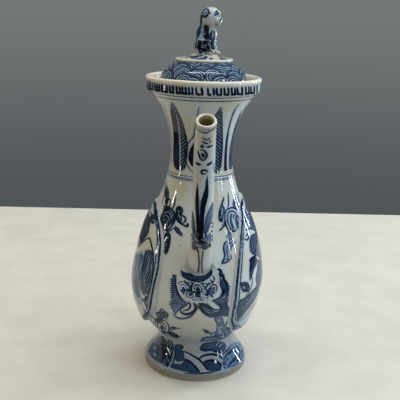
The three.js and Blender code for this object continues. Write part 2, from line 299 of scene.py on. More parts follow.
def wash(painting, place, layer, points, hatch=None):
    # a filled shape; hatch is the angle and mm pitch of the strokes that fill it, and the phase they start at
    line = softCurve(closedRing(points), paintSpacing)
    near, p = nearLine(painting, place, line)
    if not len(near):
        return
    best = np.full(len(near), clearOfInk)
    inside = np.zeros(len(near), bool)
    for a, b, (share, away) in zip(line, line[1:], segments(p, line)):
        best = np.minimum(best, away)
        step = b - a
        crosses = ((a[1] > p[:, 1]) != (b[1] > p[:, 1]))
        if abs(step[1]) > 1e-9:
            inside ^= crosses & (p[:, 0] < a[0] + (p[:, 1] - a[1]) * step[0] / step[1])
    painting[layer][near] = np.minimum(painting[layer][near], np.where(inside, -best, best))
    if hatch:
        angle, pitch, start = hatch
        c, s = math.cos(math.radians(angle)), math.sin(math.radians(angle))
        marked = inside | (best < hatchOverlap)
        painting["hatch"][near[marked]] = start + (p[marked, 1] * c - p[marked, 0] * s) / pitch


def ringLine(painting, layer, height, width):
    # a turned line right round the pot
    painting[layer] = np.minimum(painting[layer], np.abs(painting["up"] - height) - width / 2)


# Materials

glazeColours = {
    "glaze": "#cdd3d0",       # porcelain glaze, a little green-grey
    "cream": "#cbc8b4",       # where it has yellowed
    "lip": "#f1ebda",         # painted light: the rim's up-facing top edge, painted lighter and creamier
    "lowShade": "#767d83",      # painted shade, greyer towards the foot
    "pale": "#8297ad",        # thin cobalt
    "mid": "#3b587a",
    "deep": "#182e4e",
    "line": "#070b17",        # cobalt at its thickest, nearly black
    "biscuit": "#a3947c",     # bare paste where the kiln toasts it
    "boreShade": "#9c8c58",       # painted shade in the spout's bore, darker and olive-brown
    "speck": "#5b4a36",       # iron in the paste
    # painted shade on the foot's upright band
    "footBandShade": "#7b756b",
    "white": "#dddcd2",       # the lion's glaze, cooler and warmer
    "warmWhite": "#e5dfcc",
    "grit": "#b7a488",        # unglazed paste
    "gritPale": "#d5c8b2",
}


def addNode(tree, kind, settings=None, links=None):
    # one node, its settings by attribute or socket name, and its inputs from other sockets
    node = tree.nodes.new(kind)
    for key, value in (settings or {}).items():
        if hasattr(node, key):
            setattr(node, key, value)
        else:
            node.inputs[key].default_value = value
    for key, socket in (links or {}).items():
        tree.links.new(socket, node.inputs[key])
    return node


def maths(tree, operation, first, second=None, third=None):
    node = addNode(tree, "ShaderNodeMath", {"operation": operation})
    for slot, value in enumerate((first, second, third)):
        if value is None:
            continue
        if isinstance(value, (int, float)):
            node.inputs[slot].default_value = value
        else:
            tree.links.new(value, node.inputs[slot])
    return node.outputs[0]


def newMaterial(name):
    material = bpy.data.materials.new(name)
    material.use_nodes = True
    tree = material.node_tree
    shader = tree.nodes["Principled BSDF"]
    # fired glaze: glassy, IOR of a lime-alkaline glaze, faintly uneven
    shader.inputs["Roughness"].default_value = 0.055
    shader.inputs["IOR"].default_value = 1.52
    shader.inputs["Specular IOR Level"].default_value = 0.3
    return material, tree, shader


def noise(tree, place, scale, detail, stretch=None):
    # scale counts swells in a metre; stretch pulls the swells out along an axis
    if stretch:
        place = addNode(tree, "ShaderNodeMapping", {"Scale": stretch}, {"Vector": place}).outputs["Vector"]
    settings = {"Scale": scale, "Detail": detail}
    return addNode(tree, "ShaderNodeTexNoise", settings, {"Vector": place}).outputs["Fac"]


def times(tree, *factors):
    product = factors[0]
    for factor in factors[1:]:
        product = maths(tree, "MULTIPLY", product, factor)
    return product


def scaled(tree, value, factor, offset):
    return maths(tree, "MULTIPLY_ADD", value, factor, offset)


def painted(tree, name):
    # a painted attribute of the mesh
    return addNode(tree, "ShaderNodeAttribute", {"attribute_name": name}).outputs["Fac"]


def heightOf(tree, place):
    return addNode(tree, "ShaderNodeSeparateXYZ", links={"Vector": place}).outputs["Z"]


def ranged(tree, value, low, high, to=(0.0, 1.0)):
    return addNode(tree, "ShaderNodeMapRange",
                   {"From Min": low, "From Max": high, "To Min": to[0], "To Max": to[1],
                    "interpolation_type": "SMOOTHSTEP"}, {"Value": value}).outputs["Result"]


def mixColours(tree, share, first, second):
    # colours are hex names or sockets
    node = addNode(tree, "ShaderNodeMix", {"data_type": "RGBA"}, {"Factor": share})
    for slot, colour in ((6, first), (7, second)):
        if isinstance(colour, str):
            node.inputs[slot].default_value = linear(colour)
        else:
            tree.links.new(colour, node.inputs[slot])
    return node.outputs[2]


# What the painted glaze is made of: lengths in metres, noises as swells to a metre, detail and stretch
glazeForm = {
    "swells": (150.0, 1.0),        # the waviness of a thick glaze, about 6 mm from swell to swell
    "pits": (900.0, 2.0),
    "pitDepth": 0.12,
    "bumpHeight": 0.0012,
    "clouds": (34.0, 3.0),         # yellowed clouds some 30 mm wide
    "cells": 95.0,                 # iron specks lie in a few of these cells
    "speckSize": (0.055, 0.025),
    "speckPlaces": (41.0, 0.0),
    "speckStrength": 0.6,
    "lowShade": (0.076, 0.016),      # heights between which the glaze is painted greyer towards the foot, as painted shade
    # heights between which the rim's up-facing top edge is painted lighter, as painted light
    "lip": (0.2325, 0.2343, 0.2376, 0.2368),
    "tremble": (700.0, 2.0),       # unsteadiness of the ink's edges
    "mottle": (240.0, 4.0, (1, 1, 0.45)),
    "grain": (1100.0, 3.0, (1, 1, 0.5)),
    "inkCloud": (70.0, 2.0),
    "footBandHeights": (0.0068, 0.0058),  # the foot's upright band, painted darker as painted shade
    "bareEdge": (0.0018, 0.0008),
    "open": 200.0,                 # a hatch phase past this is open, past the next one scratched through
    "scratched": 500.0,
}
# Each wash: its edge's blur in mm, its strength in the pool along its edge and the share left in its middle
washForm = {"inkPale": (0.6, 0.34, 0.6), "inkMid": (0.45, 0.66, 0.68), "inkDark": (0.4, 0.96, 0.8)}
inkStops = ((0.24, "pale"), (0.44, "mid"), (0.66, "deep"))


def glazeSkin(tree, shader, strength=0.05):
    place = addNode(tree, "ShaderNodeTexCoord").outputs["Object"]
    pits = noise(tree, place, *glazeForm["pits"])
    height = scaled(tree, pits, glazeForm["pitDepth"], noise(tree, place, *glazeForm["swells"]))
    settings = {"Strength": strength, "Distance": glazeForm["bumpHeight"]}
    bump = addNode(tree, "ShaderNodeBump", settings, {"Height": height})
    tree.links.new(bump.outputs["Normal"], shader.inputs["Normal"])
    return place


def glazeGround(tree, place):
    # the glaze isn't one white: it yellows in clouds, carries brown specks, and is painted greyer low down as
    # painted shade
    form = glazeForm
    cloud = ranged(tree, noise(tree, place, *form["clouds"]), 0.42, 0.66)
    ground = mixColours(tree, cloud, glazeColours["glaze"], glazeColours["cream"])
    cells = addNode(tree, "ShaderNodeTexVoronoi", {"Scale": form["cells"]}, {"Vector": place})
    specks = ranged(tree, cells.outputs["Distance"], *form["speckSize"])
    rare = ranged(tree, noise(tree, place, *form["speckPlaces"]), 0.56, 0.6)
    low = heightOf(tree, place)
    # painted shade: the glaze is painted greyer towards the foot
    ground = mixColours(tree, ranged(tree, low, *form["lowShade"], (0.0, 0.8)), ground, glazeColours["lowShade"])
    # painted light: the rim's up-facing top edge is painted lighter and creamier
    lip = times(tree, ranged(tree, low, *form["lip"][:2]), ranged(tree, low, *form["lip"][2:]))
    ground = mixColours(tree, lip, ground, glazeColours["lip"])
    return mixColours(tree, times(tree, specks, rare, form["speckStrength"]), ground, glazeColours["speck"])


def shadedBore(tree, colour):
    # painted shade: an attribute marks the depth of the spout's bore, where the glaze is painted darker and
    # olive-brown
    return mixColours(tree, painted(tree, "boreShade"), colour, glazeColours["boreShade"])


def hatchGaps(tree, mottle):
    # what hatching leaves of a wash: fine strokes with thinner blue, or nearly white where open, between them
    phase = painted(tree, "hatch")
    swing = maths(tree, "SINE", times(tree, phase, 2 * math.pi))
    hatched = maths(tree, "GREATER_THAN", phase, 1.0)
    opened = maths(tree, "GREATER_THAN", phase, glazeForm["open"])
    scratched = maths(tree, "GREATER_THAN", phase, glazeForm["scratched"])
    wobble = times(tree, scaled(tree, mottle, 1.6, -0.8), scaled(tree, scratched, -0.6, 1.0))
    swing = scaled(tree, maths(tree, "SUBTRACT", opened, scratched), -0.4, swing)
    gap = ranged(tree, maths(tree, "ADD", swing, wobble), -0.1, 0.6)
    depth = maths(tree, "ADD", times(tree, hatched, -0.36), times(tree, opened, -0.34))
    return scaled(tree, gap, depth, 1.0)


# What each noise adds to the ink's strength and what it has without it, and mm at a stroke's edges
inkTone = {
    "cloud": (0.5, 0.72),
    "mottle": (0.7, 0.66),
    "grain": (0.3, 0.86),
    "lineCloud": (0.4, 0.72),
    "lineMottle": (0.5, 0.76),
    "lineEdge": (0.38, -0.34),
    "scratchEdge": (0.3, -0.3),
    "scratched": (-0.85, 1.0),
    "besideLine": (2.2, 0.0, (0.0, 0.05)),
    "besideWash": (2.4, 0.0, (0.0, 0.06)),
    "darkest": 0.92,
}


def paintedPorcelain():
    # underglaze cobalt brushed on porcelain: soft-edged steel blue that pools nearly black at its edges
    form = glazeForm
    material, tree, shader = newMaterial("porcelain_with_underglaze_cobalt")
    place = glazeSkin(tree, shader)
    edge = scaled(tree, noise(tree, place, *form["tremble"]), 0.7, -0.35)
    mottle = noise(tree, place, *form["mottle"])
    grain = noise(tree, place, *form["grain"])
    cloud = noise(tree, place, *form["inkCloud"])

    def distance(name):
        return maths(tree, "ADD", painted(tree, name), edge)

    def layer(name):
        # full strength in the pool along the edge, less in the thin middle of the wash
        blur, strength, inner = washForm[name]
        value = distance(name)
        pooled = ranged(tree, value, -1.5, -0.1, (inner * strength, strength))
        return times(tree, ranged(tree, value, blur, -blur), pooled)

    filled = maths(tree, "MAXIMUM", layer("inkPale"), layer("inkMid"))
    filled = maths(tree, "MAXIMUM", filled, layer("inkDark"))
    tone = times(tree, scaled(tree, cloud, *inkTone["cloud"]), scaled(tree, mottle, *inkTone["mottle"]),
                 scaled(tree, grain, *inkTone["grain"]))
    washes = times(tree, filled, hatchGaps(tree, mottle), tone)
    lineTone = times(tree, scaled(tree, cloud, *inkTone["lineCloud"]),
                     scaled(tree, mottle, *inkTone["lineMottle"]))
    lines = times(tree, ranged(tree, distance("inkLine"), *inkTone["lineEdge"]), lineTone)
    ink = maths(tree, "MAXIMUM", washes, lines)
    # white is scratched out of the ink, and cobalt bleeds a faint blue into the glaze beside it
    scratched = ranged(tree, distance("inkWhite"), *inkTone["scratchEdge"])
    ink = times(tree, ink, scaled(tree, scratched, *inkTone["scratched"]))
    besideLine = ranged(tree, distance("inkLine"), *inkTone["besideLine"])
    besideWash = ranged(tree, distance("inkDark"), *inkTone["besideWash"])
    ink = maths(tree, "MAXIMUM", ink, maths(tree, "ADD", besideLine, besideWash))
    ramp = addNode(tree, "ShaderNodeValToRGB", links={"Fac": ink})
    stops = ramp.color_ramp.elements
    stops[0].position, stops[0].color = 0.0, linear(glazeColours["pale"])
    stops[1].position, stops[1].color = inkTone["darkest"], linear(glazeColours["line"])
    for position, name in inkStops:
        stop = stops.new(position)
        stop.color = linear(glazeColours[name])
    thin = addNode(tree, "ShaderNodeMapRange", {"From Min": 0.0, "From Max": inkStops[0][0]}, {"Value": ink})
    colour = mixColours(tree, thin.outputs["Result"], glazeGround(tree, place), ramp.outputs["Color"])
    # the foot's upright band is painted darker and browner, as painted shade, and its resting edge is wiped
    # bare, warm and dirty
    low = heightOf(tree, place)
    footBandShade = ranged(tree, low, *form["footBandHeights"], (0.0, 0.85))
    colour = mixColours(tree, footBandShade, colour, glazeColours["footBandShade"])
    high, bottom = form["bareEdge"]
    bare = addNode(tree, "ShaderNodeMapRange", {"From Min": high, "From Max": bottom}, {"Value": low})
    colour = mixColours(tree, bare.outputs["Result"], colour, glazeColours["biscuit"])
    tree.links.new(shadedBore(tree, colour), shader.inputs["Base Color"])
    return material


def whiteGlaze():
    # plain creamy glaze over white paste
    material, tree, shader = newMaterial("creamy_white_glaze")
    place = glazeSkin(tree, shader)
    cloud = ranged(tree, noise(tree, place, 60.0, 3.0), 0.35, 0.65)
    cream = mixColours(tree, cloud, glazeColours["white"], glazeColours["warmWhite"])
    tree.links.new(shadedBore(tree, cream), shader.inputs["Base Color"])
    return material


def bareBiscuit():
    # unglazed fired paste: matt, warm and finely gritty
    material, tree, shader = newMaterial("bare_biscuit_paste")
    shader.inputs["Roughness"].default_value = 0.75
    place = glazeSkin(tree, shader, 0.3)
    grit = ranged(tree, noise(tree, place, 1400.0, 3.0), 0.3, 0.7)
    colour = mixColours(tree, grit, glazeColours["grit"], glazeColours["gritPale"])
    tree.links.new(colour, shader.inputs["Base Color"])
    return material


cobalt = paintedPorcelain()
white = whiteGlaze()
biscuit = bareBiscuit()
print("materials ready")


def finishPiece(obj, material, body, nodes, angle=40):
    smoothShade(obj, angle)
    obj.data.materials.clear()
    obj.data.materials.append(material)
    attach(obj, body)
    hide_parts(*nodes)
    print(obj.name, len(obj.data.polygons), "faces")


# The vessel's outlines, radius and height in mm, as the solids have them
bodyForm = {
    "outline": [(33.4, 29.6), (41.9, 40), (47.0, 52), (50.4, 66), (51.2, 79), (49.5, 94),
                (46.0, 110), (40.7, 125), (34.2, 138), (29.3, 150), (25.95, 161.3)],
    "wall": 3.2,
    "floor": 33.4,
    "fineTo": 62,        # degrees to each side of the spout in which the mesh is finer
    "spacing": 1.1,
    "columns": 300,
}
neckForm = {
    "outline": [(25.95, 161.3), (24.4, 172), (24.5, 183), (26.0, 196), (28.9, 205), (32.65, 213.3)],
    "wall": 3.0,
    "spacing": 0.8,
    "columns": 220,
}
flareForm = {
    "outline": [(32.65, 213.3), (36.2, 218), (39.8, 222.4), (43.3, 226)],
    "inside": [(36.8, 226), (32.6, 218.4), (29.8, 213.3)],
    "rings": ((222.0, 0.7), (224.7, 0.6)),
    "columns": 220,
}
rimForm = {
    "outline": [(43.3, 226.1), (43.6, 226.4), (43.8, 227.2), (43.8, 229.5), (43.8, 232.4), (44.05, 233.5),
                (44.35, 234.5), (44.2, 235.5), (43.6, 236.15), (42.6, 236.4), (41.6, 236.1), (40.9, 235.2),
                (40.4, 233.8), (40.0, 231.5), (40.0, 226.3)],
    "radius": 43.8,
    "middle": 230.4,
    "spacing": 0.5,
    "columns": 480,
}
seatForm = {"hole": 29.6, "outer": 39.7, "base": 226.3, "top": 229.3, "columns": 160}
footForm = {
    "band": [(41.1, 0), (42.0, 0.35), (42.5, 1.3), (42.45, 2.2), (42.45, 3.1), (42.45, 4.0), (42.45, 4.9),
             (42.45, 5.7)],
    "outline": [(42.1, 6.5), (38.4, 11.6), (34.6, 17), (32.1, 24.4), (33.35, 29.5)],
    "inside": [(28.6, 29.3), (28.2, 22), (31.2, 13), (36.8, 4), (36.8, 0)],
    "ring": 29.0,
    "ringWide": 0.7,
    "seenTo": 84,        # degrees to each side
    "columns": 300,
}


wallOutline = np.vstack([softCurve(form["outline"], 1.0) for form in (bodyForm, neckForm, flareForm)])


def wallRadius(height):
    # the vessel's outer radius at a height
    return np.interp(height, wallOutline[:, 1], wallOutline[:, 0])


spoutForm = {
    "path": [(40, 100.5), (51, 106), (60.5, 117), (66.8, 133), (68.6, 152), (68.4, 173), (70.6, 192),
             (76.2, 206), (80.6, 211.2), (83.4, 215.5)],   # distance out and height
    "rootRadius": 9.2,
    "waistRadius": 7.6,
    "lipRadius": 7.0,
    "bore": 5.2,
    "start": 8.0,        # mm along the path at which the tube leaves the wall
    "sides": 72,
}


pathSpacing = 0.5        # mm between the points of a path that a piece is laid along


def pathLength(path):
    return float(lengths(softCurve(path, pathSpacing))[-1])


def placeAlong(path, p, flatness=1.0, narrowness=1.0):
    # points about the Z axis are carried to a path of distance out and height, spout side first
    line = softCurve(path, pathSpacing)
    along = lengths(line)
    tangent = np.gradient(line, along, axis=0)
    tangent /= np.hypot(*tangent.T)[:, None]
    place = pointsAt(p[:, 2], along, line)
    t = pointsAt(p[:, 2], along, tangent)
    lift = p[:, 1] * flatness
    # the normal leans from the path towards the vessel: (up, -out) turned by a quarter
    out = place[:, 0] - lift * t[:, 1]
    up = place[:, 1] + lift * t[:, 0]
    return np.stack([p[:, 0] * narrowness, -out, up], axis=1)


def spoutRadius(along):
    form = spoutForm
    share = along / pathLength(form["path"])
    lower = form["rootRadius"] + (form["waistRadius"] - form["rootRadius"]) * np.minimum(share / 0.45, 1)
    t = np.clip((share - 0.72) / 0.28, 0, 1)
    return lower - t * t * (3 - 2 * t) * (form["waistRadius"] - form["lipRadius"])


# Side panels as seen square on: the half towards the spout and the half towards the handle
panelForm = {
    "fronts": {
        -90: [(10.5, 135.5), (20, 131.5), (28.6, 125.5), (34.2, 118.5), (38, 110.5), (40.8, 99), (42, 87),
              (41.2, 73), (37.5, 60), (29, 49.5), (16.5, 39.5)],
        90: [(14.5, 138.5), (22, 131), (29, 122.5), (35, 112), (39.2, 101), (42.6, 88), (44, 76), (43, 62),
             (38.5, 49), (27, 38.5)],
    },
    "rear": [(11.5, 135), (21.5, 129), (29.6, 120.8), (35.5, 109.5), (39.2, 96), (41.0, 82), (39.8, 66),
             (35.6, 53), (25, 40.5)],
    "tips": {-90: 139.5, 90: 146},
    "foot": (0, 34.5),
    "turn": -2,
    "relief": 2.1,
    "belly": {-90: 2.6, 90: 0.0},   # the left panel is fuller below
    "edge": 2.0,
    "middle": (0, 85),
    "around": 380,
    "rings": 62,
}


def panelOutline(side, inset=0.0):
    # the front half is at +x on the left panel and at -x on the right one
    front = -1 if side > 0 else 1
    half = [(front * (x - inset), y) for x, y in panelForm["fronts"][side]]
    rear = [(-front * (x - inset), y) for x, y in panelForm["rear"]]
    top = (0, panelForm["tips"][side] - inset * 1.3)
    foot = (0, panelForm["foot"][1] + inset)
    return [top] + half + [foot] + rear[::-1]


def panelRelief(side, height):
    t = np.clip((100 - height) / 50, 0, 1)
    return panelForm["relief"] + panelForm["belly"][side] * t * t * (3 - 2 * t)


coverForm = {
    "outline": [(33.2, 232), (33.1, 235), (31.0, 239.6), (28.0, 242.6), (24.8, 245.2), (21.5, 247.7)],
    "inside": [(0, 245), (15, 243.8), (23, 239), (25.8, 229.6)],
    "base": [(32.0, 229.6), (32.8, 229.75), (33.1, 230.6)],
    "top": [(16, 247.7), (10, 247.7), (5, 247.7), (0, 247.7)],
    "cap": [(21.7, 248.5), (21.3, 249.6), (18.5, 249.6), (13.6, 250.2), (10.6, 251.2), (0, 252.8)],
    "columns": 400,
}


# The painting is read off the photograph: its points are found where the camera's sight lines meet the pot


def cameraPlace():
    form = cameraSetup
    turn = math.radians(form["around"])
    eye = Vector((form["distance"] * math.sin(turn), -form["distance"] * math.cos(turn), form["height"]))
    axes = (Matrix.Rotation(turn, 3, "Z") @ Matrix.Rotation(math.radians(90 - form["pitchDown"]), 3, "X")
            @ Matrix.Rotation(math.radians(form["roll"]), 3, "Z"))
    pixelFocal = form["focal"] / form["sensor"] * form["pixels"]
    return eye, axes, pixelFocal


sightReach = (-110, 60, 0.05)   # mm before and past the axis that sight lines are followed, and their step


def sightLines(pixels):
    eye, axes, pixelFocal = cameraPlace()
    middle = cameraSetup["pixels"] / 2
    pixels = np.array(pixels, float)
    ways = np.column_stack([(pixels[:, 0] - middle) / pixelFocal, (middle - pixels[:, 1]) / pixelFocal,
                            -np.ones(len(pixels))])
    return np.array(eye), ways @ np.array(axes).T


def toPixels(places):
    eye, axes, pixelFocal = cameraPlace()
    middle = cameraSetup["pixels"] / 2
    seen = (places - np.array(eye)) @ np.array(axes)
    across = middle - pixelFocal * seen[:, 0] / seen[:, 2]
    return np.column_stack([across, middle + pixelFocal * seen[:, 1] / seen[:, 2]])


potOutline = np.vstack([[(42.45, 0), (42.45, 6.3)], softCurve(footForm["outline"], 1.0), wallOutline,
                        [(43.85, 226.5), (43.85, 236)]])
coverOutline = np.vstack([[(33.2, 229)], softCurve(coverForm["outline"], 1.0), coverForm["cap"]])

# Where each motif is painted: the outline, what stands out from it, the lowest and highest mm, mm to a pixel
canvases = {
    "neck": {"outline": potOutline, "skin": 0.0, "between": (29, 226), "mmPerPixel": 0.73},
    "body": {"outline": potOutline, "skin": 0.0, "between": (29, 226), "mmPerPixel": 0.755},
    "foot": {"outline": potOutline, "skin": 0.0, "between": (-2, 31), "mmPerPixel": 0.78},
    "rim": {"outline": potOutline, "skin": 0.0, "between": (226.4, 236), "mmPerPixel": 0.75},
    "cap": {"outline": coverOutline, "skin": 0.0, "between": (249.2, 252.8), "mmPerPixel": 0.75},
    "collar": {"outline": potOutline, "skin": 2.4, "between": (60, 110), "mmPerPixel": 0.75},
    "left": {"outline": potOutline, "skin": 1.9, "between": (30, 150), "mmPerPixel": 0.8, "side": -90},
    "right": {"outline": potOutline, "skin": 1.9, "between": (30, 150), "mmPerPixel": 0.8, "side": 90},
    "spout": {"mmPerPixel": 0.67},
    "lion": {"mmPerPixel": 0.75, "plane": -4.0},
}


def meetTurned(pixels, canvas):
    # the first point at which each sight line enters the turned form, or else passes nearest to it
    eye, ways = sightLines(pixels)
    depths = cameraSetup["distance"] + np.arange(*sightReach)
    low, high = canvas["between"]
    outline = canvas["outline"]
    found = []
    for way in ways:
        points = eye + depths[:, None] * way
        skin = canvas["skin"]
        if "side" in canvas:
            skin = panelRelief(canvas["side"], points[:, 2]) - 0.2
        gap = outward(points) - np.interp(points[:, 2], outline[:, 1], outline[:, 0]) - skin
        level = (points[:, 2] > low) & (points[:, 2] < high)
        entered = np.nonzero((gap[:-1] > 0) & (gap[1:] <= 0) & level[1:])[0]
        nearest = np.argmin(np.where(level, gap, 1e6))
        found.append(points[entered[0] + 1 if len(entered) else nearest])
    return np.array(found)


def spoutGrid():
    # places over the spout's visible side, with the pixel at which each is seen
    along, azimuth = np.meshgrid(np.arange(8, pathLength(spoutForm["path"]), 0.3), np.arange(-95, 96, 1.5))
    along, azimuth = along.ravel(), np.radians(azimuth.ravel())
    radius = spoutRadius(along)
    tube = np.column_stack([radius * np.sin(azimuth), -radius * np.cos(azimuth), along])
    return toPixels(placeAlong(spoutForm["path"], tube)), np.column_stack([azimuth * radius, along])


spoutSeen = spoutGrid()


def paperPoints(piece, pixels):
    # pixels become mm across and up on the piece, as it is painted
    canvas = canvases[piece]
    if piece == "spout":
        seen, paper = spoutSeen
        return np.array([paper[np.argmin(np.hypot(*(seen - pixel).T))] for pixel in np.array(pixels, float)])
    if piece == "lion":
        eye, ways = sightLines(pixels)
        places = eye + ways * ((canvas["plane"] - eye[1]) / ways[:, 1])[:, None]
        return places[:, [0, 2]]
    places = meetTurned(pixels, canvas)
    angle = np.arctan2(places[:, 0], -places[:, 1])
    if piece == "collar":
        return np.column_stack([wallRadius(places[:, 2]) * np.sin(angle), places[:, 2]])
    if piece in ("left", "right"):
        square = math.radians(canvas["side"] + panelForm["turn"])
        return np.column_stack([wallRadius(places[:, 2]) * np.sin(angle - square), places[:, 2]])
    return np.column_stack([angle * outward(places), places[:, 2]])


# The painting, read off the photograph. Points are pixels of the photograph. A wash has its
# layer, its hatching (angle, pitch in pixels, and 1 where it is open) and its outlines. A stroke has its
# layer, its width in pixels and its lines. Layers: L line, D dark, M middle, P pale, W white.

neckLeavesSeen = {"on": "neck", "washes": [
    ("L", None, [(193.2, 144), (190.2, 149), (188.3, 155), (188.8, 160.5), (191, 165), (194, 167.5),
     (199, 168), (200, 155), (199, 130), (197, 136)]),
    ("D", None, [(171.7, 104), (171, 111), (172.3, 121), (173.6, 131), (174.3, 141), (173.8, 152),
     (174, 163), (176.5, 168.8), (179.2, 169), (179.4, 158), (179.6, 148), (179, 136), (177.5, 122),
     (174.5, 110)], [(238, 106.5), (233, 116), (230, 127), (228, 139), (227, 152), (226.8, 168.5),
     (224.7, 169), (225.3, 153), (227.8, 134), (232.8, 115)]),
    ("D", (40, 3.1, 1), [(172.5, 105), (176, 110), (179.5, 118), (182.7, 127), (185, 135), (186.5, 143),
     (186.5, 152), (185.8, 160), (184.5, 168), (181, 169.5), (180.6, 158), (180.6, 146), (180, 134),
     (178, 120)]),
    ("D", (-40, 2.9, 1), [(216, 115), (220.5, 110), (221.7, 130), (221.8, 150), (220.5, 170), (214, 170),
     (214, 140)]),
    ("D", (40, 2.9, 1), [(242, 109), (238, 117), (234.5, 127), (231.5, 139), (229.5, 150), (229, 167.5),
     (232, 167.5), (233, 155), (234, 140), (236.5, 128), (239.5, 118)]),
], "strokes": [
    ("L", 1.8, [(221, 107.5), (221.8, 115), (222, 128), (222.2, 140), (222, 152), (221.2, 162),
     (220.6, 170)]),
    ("L", 1.7, [(171.7, 102.5), (170.8, 110), (172, 120), (173.3, 130), (174, 140), (173.5, 152),
     (173.8, 163), (176.5, 169), (179, 169)], [(171.9, 102.5), (176.5, 109.5), (180.5, 118.5),
     (183.5, 127), (185.7, 136), (187.3, 145), (187, 153), (186, 161), (184.7, 168), (181, 170)]),
    ("L", 1.6, [(173.2, 110), (175.6, 130), (176, 150), (175.6, 165)], [(239, 104.5), (236, 107.5),
     (232.6, 114), (229.8, 123), (227.6, 133), (226, 143), (225, 153), (224.6, 163), (224.5, 170),
     (228, 169)]),
    ("L", 1.3, [(175.4, 113), (177.8, 132), (178.2, 150), (178, 168)]),
    ("L", 1.2, [(184, 140), (184.6, 152), (183.6, 165)], [(199, 108), (197.5, 115), (195.5, 125),
     (193.5, 136.5), (189.5, 141), (186.7, 147), (185.2, 154), (186, 161.5), (188.8, 167.5),
     (193, 172.8)], [(220.7, 108), (217.5, 112.5), (215, 117), (212, 130)], [(219.6, 148), (219.6, 160),
     (219.4, 170)], [(161.5, 101), (166, 111), (169.8, 123), (171.2, 136), (171.6, 150), (171.2, 164)]),
    ("W", 0.9, [(178.5, 135), (179.8, 150), (180, 168.5)]),
]}

